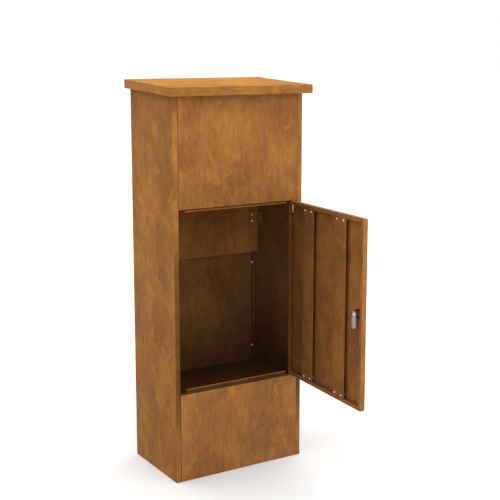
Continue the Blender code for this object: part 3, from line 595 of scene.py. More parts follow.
class Bench:
    """Blender's modelling operators, used as by hand."""

    SAME_POINT = 1e-6

    @staticmethod
    def free(obj: Optional[bpy.types.Object] = None) -> None:
        """Deselects everything, then makes one object the selected and active one.

        Args:
            obj: The object, or None to leave nothing selected.
        """
        bpy.ops.object.select_all(action="DESELECT")
        if obj is not None:
            obj.select_set(True)
            bpy.context.view_layer.objects.active = obj

    @classmethod
    def added(cls, name: str) -> bpy.types.Object:
        """Names the primitive that was just added and applies its place and scale.

        Args:
            name: Its name.

        Returns:
            The object.
        """
        obj = bpy.context.object
        obj.name = name
        obj.data.name = name
        bpy.ops.object.transform_apply(location=True, rotation=True, scale=True)
        return obj

    @classmethod
    def block(cls, name: str, low: Place, high: Place) -> bpy.types.Object:
        """A box between two corners.

        Args:
            name: Name of the box.
            low: Its corner with the lowest coordinates.
            high: Its corner with the highest.

        Returns:
            The box.
        """
        cls.free()
        middle = (Vector(low) + Vector(high)) / 2
        bpy.ops.mesh.primitive_cube_add(size=1.0, location=middle, scale=Vector(high) - Vector(low))
        return cls.added(name)

    @classmethod
    def rod(cls, name: str, radius: float, low: float, high: float, sides: int = 32) -> bpy.types.Object:
        """A plain cylinder along Z.

        Args:
            name: Name of the cylinder.
            radius: Its radius.
            low: Height of its lower end.
            high: Height of its upper end.
            sides: Steps round the axis.

        Returns:
            The cylinder.
        """
        cls.free()
        middle = (0.0, 0.0, (low + high) / 2)
        bpy.ops.mesh.primitive_cylinder_add(vertices=sides, radius=radius, depth=high - low, location=middle)
        return cls.added(name)

    @staticmethod
    def pick(obj: bpy.types.Object, test: FaceTest) -> None:
        """Selects faces by their place and normal.

        Args:
            obj: The object, in edit mode.
            test: Tells from a face's middle and normal whether it is wanted.
        """
        shape = bmesh.from_edit_mesh(obj.data)
        for face in shape.faces:
            face.select_set(False)
        for face in shape.faces:
            if test(face.calc_center_median(), face.normal):
                face.select_set(True)
        shape.select_flush_mode()
        bmesh.update_edit_mesh(obj.data)

    @classmethod
    def turned(cls, name: str, profile: Sequence[tuple[float, float]], sides: int = 32) -> bpy.types.Object:
        """Draws a cylinder's upper end up, ring by ring.

        Args:
            name: Name of the piece.
            profile: Points (radius, height) from the lower end. The first two have the same radius.
            sides: Steps round the axis.

        Returns:
            The new piece, about Z.
        """
        (radius, low), (_, high) = profile[:2]
        obj = cls.rod(name, radius, low, high, sides)
        bpy.ops.object.mode_set(mode="EDIT")
        cls.pick(obj, lambda place, normal: normal.z > 0.9)
        for (before, low), (after, high) in zip(profile[1:], profile[2:]):
            bpy.ops.mesh.extrude_region_move(TRANSFORM_OT_translate={"value": (0.0, 0.0, high - low)})
            share = after / before
            bpy.ops.transform.resize(value=(share, share, 1.0), center_override=(0.0, 0.0, high))
        bpy.ops.mesh.select_all(action="SELECT")
        bpy.ops.mesh.remove_doubles(threshold=cls.SAME_POINT)
        bpy.ops.mesh.normals_make_consistent(inside=False)
        bpy.ops.object.mode_set(mode="OBJECT")
        return obj

    @classmethod
    def finish_with(cls, obj: bpy.types.Object, kind: str, **settings: object) -> bpy.types.Object:
        """Adds a modifier and applies it.

        Args:
            obj: The object.
            kind: The modifier's type.
            settings: Its settings.

        Returns:
            The same object.
        """
        modifier = obj.modifiers.new(kind.lower(), kind)
        for key, value in settings.items():
            setattr(modifier, key, value)
        cls.free(obj)
        bpy.ops.object.modifier_apply(modifier=modifier.name)
        return obj

    @classmethod
    def combine(
        cls, obj: bpy.types.Object, others: Iterable[bpy.types.Object], operation: str = "DIFFERENCE"
    ) -> bpy.types.Object:
        """Cuts other objects out of one, or joins them to it, and removes them.

        Args:
            obj: The object.
            others: The other objects.
            operation: DIFFERENCE, UNION or INTERSECT.

        Returns:
            The first object.
        """
        for other in others:
            cls.finish_with(obj, "BOOLEAN", operation=operation, solver="EXACT", object=other)
            bpy.data.objects.remove(other, do_unlink=True)
        return obj

    @classmethod
    def soften(
        cls, obj: bpy.types.Object, width: float, segments: int = 2, angle: float = 40.0
    ) -> bpy.types.Object:
        """Rounds an object's hard edges and keeps its flat faces flat.

        Args:
            obj: The object, with no modifiers.
            width: Width of the rounding.
            segments: Steps across it.
            angle: Edges sharper than this many degrees are rounded.

        Returns:
            The same object.
        """
        obj.data.shade_smooth()
        return cls.finish_with(
            obj, "BEVEL", width=width, segments=segments, limit_method="ANGLE",
            angle_limit=math.radians(angle), harden_normals=True, use_clamp_overlap=False,
            miter_outer="MITER_ARC",
        )

    @classmethod
    def shade(cls, obj: bpy.types.Object, angle: float = 32.0) -> bpy.types.Object:
        """Shades an object smooth between its sharp edges.

        Args:
            obj: The object.
            angle: Edges sharper than this many degrees stay sharp.

        Returns:
            The same object.
        """
        cls.free(obj)
        bpy.ops.object.shade_smooth_by_angle(angle=math.radians(angle))
        return obj

    @staticmethod
    def settle(obj: bpy.types.Object, seat: Vector, up: Vector, spin: float = 0.0) -> bpy.types.Object:
        """Turns an object and moves it, in its mesh, so that the object itself stays at the origin.

        Args:
            obj: The object, about the Z axis.
            seat: Where its own origin goes.
            up: Where its Z axis points.
            spin: How far it is turned about its axis first.

        Returns:
            The same object.
        """
        turn = UP.rotation_difference(up).to_matrix().to_4x4()
        obj.data.transform(Matrix.Translation(seat) @ turn @ Matrix.Rotation(spin, 4, "Z"))
        return obj

    @staticmethod
    def copy(name: str, mesh: bpy.types.Mesh) -> bpy.types.Object:
        """Puts a mesh in the scene as an object of its own.

        Args:
            name: Name of the object.
            mesh: Its mesh.

        Returns:
            The new object.
        """
        obj = bpy.data.objects.new(name, mesh)
        bpy.context.scene.collection.objects.link(obj)
        return obj


def dress(obj: bpy.types.Object, finishes: Sequence[Finish], body: Body) -> bpy.types.Object:
    """Gives a piece its materials and lets it ride on its body.

    Args:
        obj: The piece, already in place.
        finishes: Its finishes, in the order of the faces' material indices.
        body: The body that it rides on.

    Returns:
        The same piece.
    """
    places = [face.material_index for face in obj.data.polygons]
    obj.data.materials.clear()
    for finish in finishes:
        obj.data.materials.append(finish.material())
    for face, place in zip(obj.data.polygons, places):
        face.material_index = min(place, len(finishes) - 1)
    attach(obj, body.value)
    LOG.info("built %s", obj.name)
    return obj


@dataclass
class Sheet:
    """A folded sheet-metal piece: the node's own shape with its cut edges and corners softened.

    Attributes:
        node: The CAD node that it replaces.
        finishes: Its finishes, the one of its outside first.
        slot: Its material slot; not used.
        body: The body that it rides on.
        edge: How far the edges are rounded.
        choose: Picks a face's finish, by its place in the list, from the face's middle and normal.
    """

    SAME_POINT: ClassVar[float] = 2e-6
    SAME_PLANE: ClassVar[float] = math.radians(0.6)

    node: str
    finishes: tuple[Finish, ...]
    slot: Slot
    body: Body
    edge: float = 0.35 * MM
    choose: Optional[FaceChoice] = None

    def build(self, nodes: Nodes) -> bpy.types.Object:
        """Copies the node, merges its facets, softens it and puts it in the node's place.

        Args:
            nodes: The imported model's nodes by name.

        Returns:
            The new piece.
        """
        piece = Bench.copy(f"{self.node}_detail", nodes[self.node].data.copy())
        Bench.free(piece)
        bpy.ops.mesh.customdata_custom_splitnormals_clear()
        bpy.ops.object.mode_set(mode="EDIT")
        bpy.ops.mesh.select_all(action="SELECT")
        bpy.ops.mesh.remove_doubles(threshold=self.SAME_POINT)
        bpy.ops.mesh.dissolve_limited(angle_limit=self.SAME_PLANE)
        bpy.ops.object.mode_set(mode="OBJECT")
        Bench.soften(piece, self.edge)
        for face in piece.data.polygons:
            face.material_index = int(self.choose(face.center, face.normal)) if self.choose else 0
        dress(piece, self.finishes, self.body)
        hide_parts(self.node)
        return piece


@dataclass
class PanHeadScrew:
    """A pan-head screw with a cross recess, modelled once for each length and then copied.

    Attributes:
        shank: Radius of the thread.
        pitch: Height of one turn of the thread.
        head: Radius of the head.
        rise: Height of the head.
        arm: Reach of the recess from the middle.
        slot: Half the width of the recess's arms.
        depth: Depth of the recess.
        root: Radius between the threads, as a share of the thread's.
        models: The meshes made so far, by length.
    """

    shank: float = 1.65 * MM
    pitch: float = 0.7 * MM
    head: float = 3.4 * MM
    rise: float = 2.0 * MM
    arm: float = 1.6 * MM
    slot: float = 0.33 * MM
    depth: float = 1.2 * MM
    root: float = 0.86
    models: dict[float, bpy.types.Mesh] = field(default_factory=dict)

    def profile(self, length: float) -> Outline:
        """The screw's outline from its tip to the top of its head.

        Args:
            length: Length of the shank.

        Returns:
            Points (radius, height), with the underside of the head at nought.
        """
        root, point, tip = self.shank * self.root, self.shank * 0.8, 0.3 * MM
        points = [(point, -length), (point, -length + tip)]
        for turn in range(int((length - 2 * tip) / self.pitch)):
            low = -length + tip + turn * self.pitch
            points += [(self.shank, low + self.pitch * 0.4), (root, low + self.pitch * 0.9)]
        points += [(root, 0.0), (self.head * 0.96, 0.0), (self.head, 0.15 * MM)]
        for step in range(5):
            angle = math.radians(10 + 70 * step / 4)
            radius = self.head * math.cos(angle) ** 0.7
            points.append((radius, self.rise * (0.3 + 0.7 * math.sin(angle))))
        return points

    def model(self, length: float) -> bpy.types.Mesh:
        """The screw along Z, with the underside of its head at zero.

        Args:
            length: Length of the shank.

        Returns:
            A mesh that the caller may change.
        """
        key = round(length, 5)
        if key not in self.models:
            screw = Bench.turned("screw", self.profile(length), 24)
            low, high = self.rise - self.depth, self.rise * 1.5
            arms = [
                Bench.block("arm", (-self.arm, -self.slot, low), (self.arm, self.slot, high)),
                Bench.block("arm", (-self.slot, -self.arm, low), (self.slot, self.arm, high)),
            ]
            Bench.shade(Bench.combine(screw, arms))
            self.models[key] = screw.data
            bpy.data.objects.remove(screw, do_unlink=True)
        return self.models[key].copy()

    def put(self, nodes: Nodes, node: str, up: Vector, body: Body) -> None:
        """Puts a screw where a node stands.

        Args:
            nodes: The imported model's nodes by name.
            node: The CAD node that it replaces.
            up: The way that the head points.
            body: The body that it rides on.
        """
        middle, low, top = reach_along(nodes[node], up)
        screw = Bench.copy(f"{node}_detail", self.model(top - low - self.rise))
        Bench.settle(screw, middle + up * (top - self.rise), up, own_turn(node))
        dress(screw, [Finish.STEEL], body)
        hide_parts(node)


@dataclass
class HexNut:
    """A hexagonal nut with its corners turned off and a threaded bore.

    Attributes:
        width: Width across the flats.
        height: Height of the nut.
        bore: Radius of the bore.
        pitch: Height of one turn of its thread.
        finish: Its finish.
    """

    width: float
    height: float
    bore: float
    pitch: float = 0.7 * MM
    finish: Finish = Finish.STEEL

    def model(self) -> bpy.types.Object:
        """The nut about Z, from nought up.

        Returns:
            The new nut.
        """
        flat, corner, top = self.width / 2, self.width / math.sqrt(3), self.height
        chamfer, past = (corner - flat) * 0.6, corner * 1.02
        nut = Bench.rod("nut", corner, 0.0, top, 6)
        rounding = [(flat, -0.01 * MM), (flat, 0.0), (past, chamfer)]
        rounding += [(past, top - chamfer), (flat, top), (flat, top + 0.01 * MM)]
        Bench.combine(nut, [Bench.turned("rounding", rounding, 48)], "INTERSECT")
        mouth, groove = self.bore * 1.12, self.bore * 1.08
        thread = [(mouth, -0.1 * MM), (mouth, 0.05 * MM)]
        height = 0.3 * MM
        while height < top - 0.5 * self.pitch:
            thread += [(self.bore, height), (groove, height + self.pitch * 0.5)]
            height += self.pitch
        thread += [(mouth, top + 0.1 * MM)]
        return Bench.shade(Bench.combine(nut, [Bench.turned("thread", thread, 32)]), 25.0)

    def put(self, node: bpy.types.Object, up: Vector, body: Body, spin: float = 0.0) -> None:
        """Puts a nut where a node stands.

        Args:
            node: The CAD node that it replaces.
            up: The way that its bore points.
            body: The body that it rides on.
            spin: How far it is turned about its bore.
        """
        middle, low, _ = reach_along(node, up)
        nut = self.model()
        nut.name = f"{node.name}_detail"
        Bench.settle(nut, middle + up * low, up, spin)
        dress(nut, [self.finish], body)
        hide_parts(node.name)


def reach_along(node: bpy.types.Object, up: Vector) -> tuple[Vector, float, float]:
    """How far a node reaches from its middle, along an axis.

    Args:
        node: The CAD node.
        up: The axis.

    Returns:
        The middle of its reach along the axis and across it, and its reach below and above the middle.
    """
    across = up.orthogonal().normalized()
    middle = Vector((0.0, 0.0, 0.0))
    for axis in (up, across, up.cross(across)):
        reaches = [vertex.co.dot(axis) for vertex in node.data.vertices]
        middle += axis * (min(reaches) + max(reaches)) / 2
    reaches = [(vertex.co - middle).dot(up) for vertex in node.data.vertices]
    return middle, min(reaches), max(reaches)


def own_turn(name: str) -> float:
    """An angle that stays the same for a name, so that the recesses don't all line up."""
    total = sum(ord(letter) * (place + 3) for place, letter in enumerate(name))
    return math.radians(total % 90)


@dataclass
class Cabinet:
    """The walls, lid, floor and base, and what fastens them.

    Attributes:
        half_width: Half the body's width.
        half_depth: Half the body's depth.
        skin: Faces nearer than this to the body's outer planes belong to the outside.
        jamb_return: The jamb's return lies at least this far in from the body's side.
        back_face: Where the back panel's outer face lies.
        thin: How far the folded sheets' edges are rounded.
        lid_nut: The nuts under the lid.
    """

    half_width: float = 186.0 * MM
    half_depth: float = 116.0 * MM
    skin: float = 0.9 * MM
    jamb_return: float = 12.0 * MM
    back_face: float = 114.2 * MM
    thin: float = 0.12 * MM
    lid_nut: HexNut = field(default_factory=lambda: HexNut(width=7.0 * MM, height=3.0 * MM, bore=2.1 * MM))

    def side_part(self, place: Vector, normal: Vector) -> int:
        """Sorts the faces of a side panel.

        Args:
            place: The face's middle.
            normal: The way it points.

        Returns:
            Nought for the outside, one for the inside and two for the jamb.
        """
        from_side = self.half_width - abs(place.x)
        from_end = self.half_depth - abs(place.y)
        is_return = from_side > self.jamb_return and abs(normal.x) > 0.5
        if place.y < 0 and (from_end < self.skin or is_return):
            return 2
        return int(min(from_side, from_end) > self.skin)

    def front_inside(self, place: Vector, normal: Vector) -> bool:
        """Whether a face of a front panel lies behind its front."""
        return place.y > -self.half_depth + self.skin

    def back_inside(self, place: Vector, normal: Vector) -> bool:
        """Whether a face of the back panel looks into the box."""
        return place.y < self.back_face - self.skin

    def lid_part(self, place: Vector, normal: Vector) -> int:
        """Sorts the faces of the lid.

        Args:
            place: The face's middle.
            normal: The way it points.

        Returns:
            Nought for the top, one for what looks down or inwards and two for the skirt.
        """
        inwards = min(normal.x * place.x, normal.y * place.y) < -0.001
        if normal.z < -0.3 or inwards:
            return 1
        return 0 if normal.z > 0.7 else 2

    def sheets(self) -> list[Sheet]:
        """Every sheet-metal piece of the cabinet.

        Returns:
            The pieces, yet to be built.
        """
        rust, body = Slot.RUST, Body.CABINET
        # The inside finish paints the shade inside the box and under the lid.
        inside, lip = Finish.INSIDE, Finish.STOP_LIP
        sides = (Finish.SIDE, inside, Finish.JAMB)
        return [
            Sheet("left_side_panel", sides, rust, body, self.thin, self.side_part),
            Sheet("right_side_panel", sides, rust, body, self.thin, self.side_part),
            Sheet("upper_front_panel", (Finish.UPPER, lip), rust, body, self.thin, self.front_inside),
            Sheet("lower_front_panel", (Finish.LOWER, lip), rust, body, self.thin, self.front_inside),
            Sheet("back_panel", (Finish.BACK, Finish.BACK_INSIDE), rust, body, choose=self.back_inside),
            Sheet("lid", (Finish.LID, inside, Finish.SKIRT), rust, body, choose=self.lid_part),
            Sheet("compartment_floor", (inside,), Slot.RUST_INSIDE, body),
            Sheet("base_plate", (inside,), Slot.RUST_INSIDE, body),
        ]

    def build(self, nodes: Nodes, screw: PanHeadScrew) -> None:
        """Builds the cabinet's pieces.

        Args:
            nodes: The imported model's nodes by name.
            screw: The screw that is put wherever one stands.
        """
        for sheet in self.sheets():
            sheet.build(nodes)
        for name in sorted(nodes):
            if name.startswith("lid_nut"):
                self.lid_nut.put(nodes[name], UP, Body.CABINET, own_turn(name))
            elif name.startswith("back_panel_screw"):
                screw.put(nodes, name, TO_FRONT, Body.CABINET)
            elif "_panel_screw_" in name:
                screw.put(nodes, name, TO_RIGHT if "left" in name else -TO_RIGHT, Body.CABINET)


@dataclass
class LetterBaffle:
    """The plate in front of the letter slot, its two corner brackets and what fastens them.

    Attributes:
        nut: The nuts on the side walls' studs.
    """

    nut: HexNut = field(default_factory=lambda: HexNut(width=7.0 * MM, height=2.4 * MM, bore=2.1 * MM))

    def build(self, nodes: Nodes, screw: PanHeadScrew) -> None:
        """Builds the baffle's pieces.

        Args:
            nodes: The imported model's nodes by name.
            screw: The screw that is put wherever one stands.
        """
        for node in ("letter_baffle", "baffle_bracket_left", "baffle_bracket_right"):
            Sheet(node, (Finish.BAFFLE,), Slot.RUST_INSIDE, Body.CABINET).build(nodes)
        for side, inwards in (("left", TO_RIGHT), ("right", -TO_RIGHT)):
            self.nut.put(nodes[f"baffle_nut_{side}"], inwards, Body.CABINET, math.radians(20))
            for level in ("lower", "upper"):
                screw.put(nodes, f"baffle_screw_{side}_{level}", TO_FRONT, Body.CABINET)


@dataclass
class Door:
    """The door's pan, its stiffeners, and the pins that it turns on.

    Attributes:
        skin: Faces nearer than this to the pan's outer planes belong to the outside.
        pin: Radius of the pins.
        pin_head: Radius of the pins' heads.
        head: Height of the pins' heads.
        tip: Height of their rusted tips.
        bracket_edge: How far the bracket's edges are rounded.
        washer_edge: How far the washer's edges are rounded.
    """

    skin: float = 0.9 * MM
    pin: float = 2.0 * MM
    pin_head: float = 3.0 * MM
    head: float = 2.0 * MM
    tip: float = 4.0 * MM
    bracket_edge: float = 0.2 * MM
    washer_edge: float = 0.08 * MM

    def pan_test(self, node: bpy.types.Object) -> FaceTest:
        """Tells the faces of the pan that look inwards when the door is shut.

        Args:
            node: The pan's CAD node.

        Returns:
            The test, from a face's middle and normal.
        """
        along = DOOR_IN.cross(UP)
        reach = {}
        for key, axis in (("in", DOOR_IN), ("along", along), ("up", UP)):
            values = [vertex.co.dot(axis) for vertex in node.data.vertices]
            reach[key] = (min(values), max(values))

        def inside(place: Vector, normal: Vector) -> bool:
            """Whether a face is neither the door's front nor its rim.

            Args:
                place: The face's middle.
                normal: The way it points; not used.

            Returns:
                True for a face that looks inwards.
            """
            from_front = place.dot(DOOR_IN) - reach["in"][0]
            from_sides = [abs(place.dot(along) - end) for end in reach["along"]]
            from_ends = [abs(place.z - end) for end in reach["up"]]
            return min(from_front, *from_sides, *from_ends) > self.skin

        return inside

    def in_channel(self, place: Vector, normal: Vector) -> bool:
        """Whether a face of a stiffener looks towards the door's free edge."""
        return normal.dot(DOOR_IN.cross(UP)) < -0.5

    def put_pin(self, node: bpy.types.Object, body: Body) -> None:
        """A pin with a rounded, rusted tip and a low head below.

        Args:
            node: The CAD node that it replaces.
            body: The body that it rides on.
        """
        middle, low, top = reach_along(node, UP)
        shoulder = low + self.head
        foot = self.pin_head * 0.85
        profile = [(foot, low), (foot, low + 0.01 * MM), (self.pin_head, low + 0.3 * MM)]
        profile += [(self.pin_head, shoulder), (self.pin, shoulder)]
        profile += [(self.pin, top - self.tip), (self.pin, top - self.pin * 0.6), (self.pin * 0.4, top)]
        pin = Bench.shade(Bench.turned(f"{node.name}_detail", profile, 28))
        for face in pin.data.polygons:
            face.material_index = int(face.center.z > top - self.tip)
        Bench.settle(pin, middle, UP)
        dress(pin, [Finish.STEEL, Finish.DOOR], body)
        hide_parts(node.name)

    def build(self, nodes: Nodes, screw: PanHeadScrew) -> None:
        """Builds the door's pieces.

        Args:
            nodes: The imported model's nodes by name.
            screw: The screw that is put wherever one stands.
        """
        pan = nodes["door_panel"]
        # The darker inside finish paints the shade on the door's inside, its stiffeners and its hinge
        # bracket.
        outside, shaded_inside = Finish.DOOR, Finish.DOOR_INSIDE
        Sheet(pan.name, (outside, shaded_inside), Slot.RUST, Body.DOOR, choose=self.pan_test(pan)).build(nodes)
        # Faces inside the stiffeners' channels take the lighter outside rust: painted light that lifts the
        # shade there.
        for side in ("hinge_side", "lock_side"):
            name = f"door_stiffener_{side}"
            Sheet(name, (shaded_inside, outside), Slot.RUST_INSIDE, Body.DOOR, choose=self.in_channel).build(nodes)
        Sheet("hinge_bracket", (shaded_inside,), Slot.RUST_INSIDE, Body.DOOR, self.bracket_edge).build(nodes)
        Sheet("hinge_washer", (Finish.NYLON,), Slot.NYLON, Body.DOOR, self.washer_edge).build(nodes)
        self.put_pin(nodes["hinge_pin_top"], Body.DOOR)
        self.put_pin(nodes["hinge_pin_bottom"], Body.CABINET)
        for name in sorted(nodes):
            if name.startswith("door_screw"):
                screw.put(nodes, name, DOOR_IN, Body.DOOR)


@dataclass
class CamLock:
    """The cam lock in the door: a threaded body with a domed face, a plug with a keyway, and the cam.

    Attributes:
        face: Radius of the face.
        face_rise: How far the face stands off the door.
        flat_share: Radius of the flat in the middle of the face, as a share of the face's.
        dome_share: Height of the dome round it, as a share of the face's rise.
        dome: How far round the dome goes, in degrees.
        body: Radius of the body's thread.
        root: Radius between its threads, as a share of the thread's.
        pitch: Height of one turn of the thread.
        flat: How far from the axis the body's two flats lie.
        plug: Radius of the plug.
        gap: Clearance round the plug.
        keyway: Width, length and depth of the keyway.
        mouth: How much wider and longer it is where it opens, and how deep that is.
        tail: Width of the square tail that carries the cam.
        screw_hole: Radius of the hole in its end for the cam's screw.
        over: How far a cutter reaches past what it cuts.
        cam_edge: How far the cam's edges are rounded.
        nut: The nut behind the door.
        cam_screw: The screw that holds the cam.
    """

    face: float = 11.5 * MM
    face_rise: float = 3.0 * MM
    flat_share: float = 0.72
    dome_share: float = 0.55
    dome: float = 75.0
    body: float = 8.5 * MM
    root: float = 0.93
    pitch: float = 1.0 * MM
    flat: float = 7.6 * MM
    plug: float = 5.5 * MM
    gap: float = 0.3 * MM
    keyway: tuple[float, float, float] = (1.2 * MM, 7.0 * MM, 6.0 * MM)
    mouth: tuple[float, float, float] = (1.8, 1.1, 0.4 * MM)
    tail: float = 6.5 * MM
    screw_hole: float = 1.7 * MM
    over: float = 1.0 * MM
    cam_edge: float = 0.3 * MM
    nut: HexNut = field(
        default_factory=lambda: HexNut(
            width=22.0 * MM, height=3.5 * MM, bore=8.6 * MM, pitch=1.0 * MM, finish=Finish.DARK_STEEL
        )
    )
    cam_screw: PanHeadScrew = field(
        default_factory=lambda: PanHeadScrew(
            shank=1.4 * MM, head=5.0 * MM, rise=3.0 * MM, arm=2.4 * MM, slot=0.5 * MM, depth=1.6 * MM
        )
    )

    def bezel(self, low: float) -> Outline:
        """The outline of the face, a flat with a dome round it.

        Args:
            low: Height of the flat.

        Returns:
            Points (radius, height) from the flat outwards.
        """
        flat, end = self.face * self.flat_share, math.radians(self.dome)
        outline = [(flat, low), (flat, low + 0.01 * MM)]
        for step in range(1, 6):
            angle = end * step / 5
            radius = flat + (self.face - flat) * math.sin(angle) / math.sin(end)
            rise = self.face_rise * self.dome_share * (1 - math.cos(angle)) / (1 - math.cos(end))
            outline.append((radius, low + rise))
        return outline

    def put_body(self, node: bpy.types.Object) -> None:
        """The body about the door's inward axis, from its face to its threaded end.

        Args:
            node: The CAD node that it replaces.
        """
        middle, low, top = reach_along(node, DOOR_IN)
        seat = low + self.face_rise - self.gap
        root = self.body * self.root
        profile = self.bezel(low) + [(self.face, seat), (root, seat)]
        height = seat + 0.4 * MM
        while height < top - self.pitch:
            profile += [(self.body, height + self.pitch * 0.45), (root, height + self.pitch * 0.9)]
            height += self.pitch
        profile += [(self.body * 0.9, top)]
        shell = Bench.turned(f"{node.name}_detail", profile, 40)
        bore = Bench.rod("bore", self.plug + self.gap, low - self.over, top + self.over, 40)
        wide, start = 2 * self.body, seat + 2.2 * MM
        flats = [
            Bench.block("flat", (near, -wide, start), (far, wide, top + self.over))
            for near, far in ((-wide, -self.flat), (self.flat, wide))
        ]
        Bench.shade(Bench.combine(shell, [bore, *flats]), 28.0)
        for face in shell.data.polygons:
            face.material_index = int(face.center.z > seat)
        Bench.settle(shell, middle, DOOR_IN)
        dress(shell, [Finish.CHROME, Finish.DARK_STEEL], Body.DOOR)
        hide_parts(node.name)

    def put_plug(self, node: bpy.types.Object, lock_body: bpy.types.Object) -> None:
        """The plug with its keyway in front and its square tail behind.

        Args:
            node: The CAD node that it replaces.
            lock_body: The CAD node of the lock's body.
        """
        middle, low, top = reach_along(node, DOOR_IN)
        shell_middle, _, shell_top = reach_along(lock_body, DOOR_IN)
        shoulder = (shell_middle - middle).dot(DOOR_IN) + shell_top
        inner = self.plug * 0.9
        profile = [(inner, low), (inner, low + 0.02 * MM)]
        profile += [(self.plug, low + 0.35 * MM), (self.plug, shoulder)]
        plug = Bench.turned(f"{node.name}_detail", profile, 40)
        half = self.tail / 2
        tail = Bench.block("tail", (-half, -half, shoulder - self.over), (half, half, top))
        Bench.combine(plug, [Bench.soften(tail, 0.4 * MM)], "UNION")
        wide, tall, deep = self.keyway[0] / 2, self.keyway[1] / 2, self.keyway[2]
        keyway = Bench.block("keyway", (-wide, -tall, low - self.over), (wide, tall, low + deep))
        side, end, deep = wide * self.mouth[0], tall * self.mouth[1], self.mouth[2]
        mouth = Bench.block("mouth", (-side, -end, low - self.over), (side, end, low + deep))
        thread = Bench.rod("thread", self.screw_hole, shoulder - 3.0 * MM, top + self.over, 24)
        Bench.shade(Bench.combine(plug, [keyway, mouth, thread]), 28.0)
        upright = math.radians(90) - math.atan2(*reversed(sideways_of(DOOR_IN)))
        Bench.settle(plug, middle, DOOR_IN, upright)
        dress(plug, [Finish.CHROME], Body.LOCK_CORE)
        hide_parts(node.name)

    def build(self, nodes: Nodes) -> None:
        """Builds the lock's pieces.

        Args:
            nodes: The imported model's nodes by name.
        """
        self.put_body(nodes["lock_body"])
        self.nut.put(nodes["lock_nut"], DOOR_IN, Body.DOOR, math.radians(12))
        self.put_plug(nodes["lock_plug"], nodes["lock_body"])
        Sheet("lock_cam", (Finish.CAM,), Slot.STEEL, Body.LOCK_CORE, self.cam_edge).build(nodes)
        self.cam_screw.put(nodes, "cam_screw", DOOR_IN, Body.LOCK_CORE)


def sideways_of(up: Vector) -> tuple[float, float]:
    """How far a piece's own X and Y axes rise, once its Z axis is turned to point along an axis."""
    turn = UP.rotation_difference(up).to_matrix()
    return (turn @ Vector((1.0, 0.0, 0.0))).z, (turn @ Vector((0.0, 1.0, 0.0))).z


@dataclass
class LetterFlap:
    """The flap over the letter slot, its ears and its pin.

    Attributes:
        edge: How far the cut edges are rounded.
    """

    edge: float = 0.25 * MM

    def build(self, nodes: Nodes) -> None:
        """Builds the flap's pieces.

        Args:
            nodes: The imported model's nodes by name.
        """
        for side in ("left", "right"):
            Sheet(f"flap_ear_{side}", (Finish.BACK,), Slot.RUST, Body.CABINET, self.edge).build(nodes)
        Sheet("letter_flap", (Finish.BACK,), Slot.RUST, Body.FLAP, self.edge).build(nodes)
        Sheet("flap_pin", (Finish.STEEL,), Slot.STEEL, Body.CABINET, self.edge).build(nodes)


@dataclass(frozen=True)
class StudioLight:
    """A soft rectangular light.

    Attributes:
        name: Name of the light.
        place: Where it stands.
        aim: What it points at.
        size: Its width and height.
        power: Its power in watts.
    """

    name: str
    place: Place
    aim: Place
    size: tuple[float, float]
    power: float

    def build(self) -> None:
        """Adds the light to the scene."""
        data = bpy.data.lights.new(self.name, "AREA")
        data.shape = "RECTANGLE"
        data.size, data.size_y = self.size
        data.energy = self.power
        lamp = bpy.data.objects.new(self.name, data)
        bpy.context.scene.collection.objects.link(lamp)
        lamp.location = self.place
        direction = Vector(self.aim) - Vector(self.place)
        lamp.rotation_euler = direction.to_track_quat("-Z", "Y").to_euler()


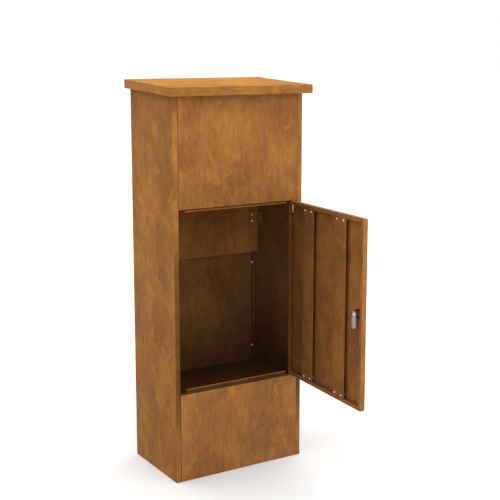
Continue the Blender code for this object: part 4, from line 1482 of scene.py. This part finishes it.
@dataclass(frozen=True)
class Studio:
    """The floor, the soft dome of light, one weak lamp and the camera.

    Attributes:
        camera_place: Where the camera stands.
        camera_yaw: How far it is turned to its right, in degrees.
        camera_pitch: How far it looks down, in degrees.
        lens: Focal length in millimetres.
        sensor: Width of the camera's sensor in millimetres.
        shift_y: Lowers the picture's frame, so that the whole mailbox is in it.
        horizon: Strength of the dome's light near the horizon.
        zenith: Its strength overhead.
        floor_size: Length of the floor's sides.
        floor_tone: How much light the floor gives back to the mailbox.
        floor_seen: How pale the floor looks.
        lights: The lamps.
    """

    camera_place: Place = (-1.3366, -2.3337, 1.0795)
    camera_yaw: float = 31.626
    camera_pitch: float = 9.606
    lens: float = 75.6
    sensor: float = 36.0
    shift_y: float = -0.05
    horizon: float = 0.35
    zenith: float = 2.25
    floor_size: float = 60.0
    floor_tone: float = 0.5
    floor_seen: float = 0.76
    lights: tuple[StudioLight, ...] = (
        StudioLight("front", (-0.6, -3.6, 1.6), (0.0, -0.1, 0.6), (2.2, 2.2), 22.0),
    )

    def build(self) -> None:
        """Sets up everything that isn't part of the mailbox."""
        self.floor()
        self.world()
        for light in self.lights:
            light.build()
        self.camera()
        bpy.context.scene.view_settings.view_transform = "Standard"

    def floor(self) -> None:
        """A plain pale floor that runs far past the picture."""
        Bench.free()
        bpy.ops.mesh.primitive_plane_add(size=self.floor_size, location=(0.0, 0.0, -0.5 * MM))
        floor = Bench.added("studio_floor")
        material = bpy.data.materials.new("studio_floor")
        graph = NodeGraph(material)
        seen = graph.add("ShaderNodeLightPath").outputs["Is Camera Ray"]
        tone = graph.mix(seen, (self.floor_tone,) * 3, (self.floor_seen,) * 3)
        plain = {"Base Color": tone, "Roughness": 1.0, "Specular IOR Level": 0.0}
        graph.fill(graph.tree.nodes["Principled BSDF"], plain)
        floor.data.materials.append(material)

    def world(self) -> None:
        """A dome that is brighter overhead. Seen directly or in metal, it is plain white."""
        world = bpy.data.worlds.new("studio")
        graph = NodeGraph(world)
        source = graph.add("ShaderNodeTexCoord").outputs["Generated"]
        rise = graph.add("ShaderNodeSeparateXYZ", inputs={"Vector": source}).outputs["Z"]
        light_range = {"Value": rise, "To Min": self.horizon, "To Max": self.zenith}
        glow = graph.add("ShaderNodeMapRange", inputs=light_range).outputs["Result"]
        rays = graph.add("ShaderNodeLightPath").outputs
        seen = rays["Is Camera Ray"]
        for kind in ("Is Glossy Ray", "Is Transmission Ray"):
            seen = graph.math("MAXIMUM", seen, rays[kind])
        strength = graph.add("ShaderNodeMix", inputs={"Factor": seen, "A": glow, "B": 1.0}).outputs["Result"]
        white = (1.0, 1.0, 1.0, 1.0)
        graph.fill(graph.tree.nodes["Background"], {"Strength": strength, "Color": white})
        bpy.context.scene.world = world

    def camera(self) -> None:
        """The camera stands where the photograph was taken and is turned to hold the whole mailbox."""
        data = bpy.data.cameras.new("camera")
        data.lens = self.lens
        data.sensor_width = self.sensor
        data.shift_y = self.shift_y
        data.clip_start = 0.05
        data.clip_end = 200.0
        camera = bpy.data.objects.new("camera", data)
        bpy.context.scene.collection.objects.link(camera)
        camera.location = self.camera_place
        turn = Euler((math.radians(90 - self.camera_pitch), 0.0, -math.radians(self.camera_yaw)))
        camera.rotation_euler = turn
        bpy.context.scene.camera = camera


def main() -> None:
    """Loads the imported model, dresses it, and sets up the studio."""
    logging.basicConfig(level=logging.INFO)
    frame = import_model()
    nodes = frame["nodes"]
    screw = PanHeadScrew()
    Cabinet().build(nodes, screw)
    LetterBaffle().build(nodes, screw)
    Door().build(nodes, screw)
    CamLock().build(nodes)
    LetterFlap().build(nodes)
    Studio().build()


if __name__ == "__main__":
    main()
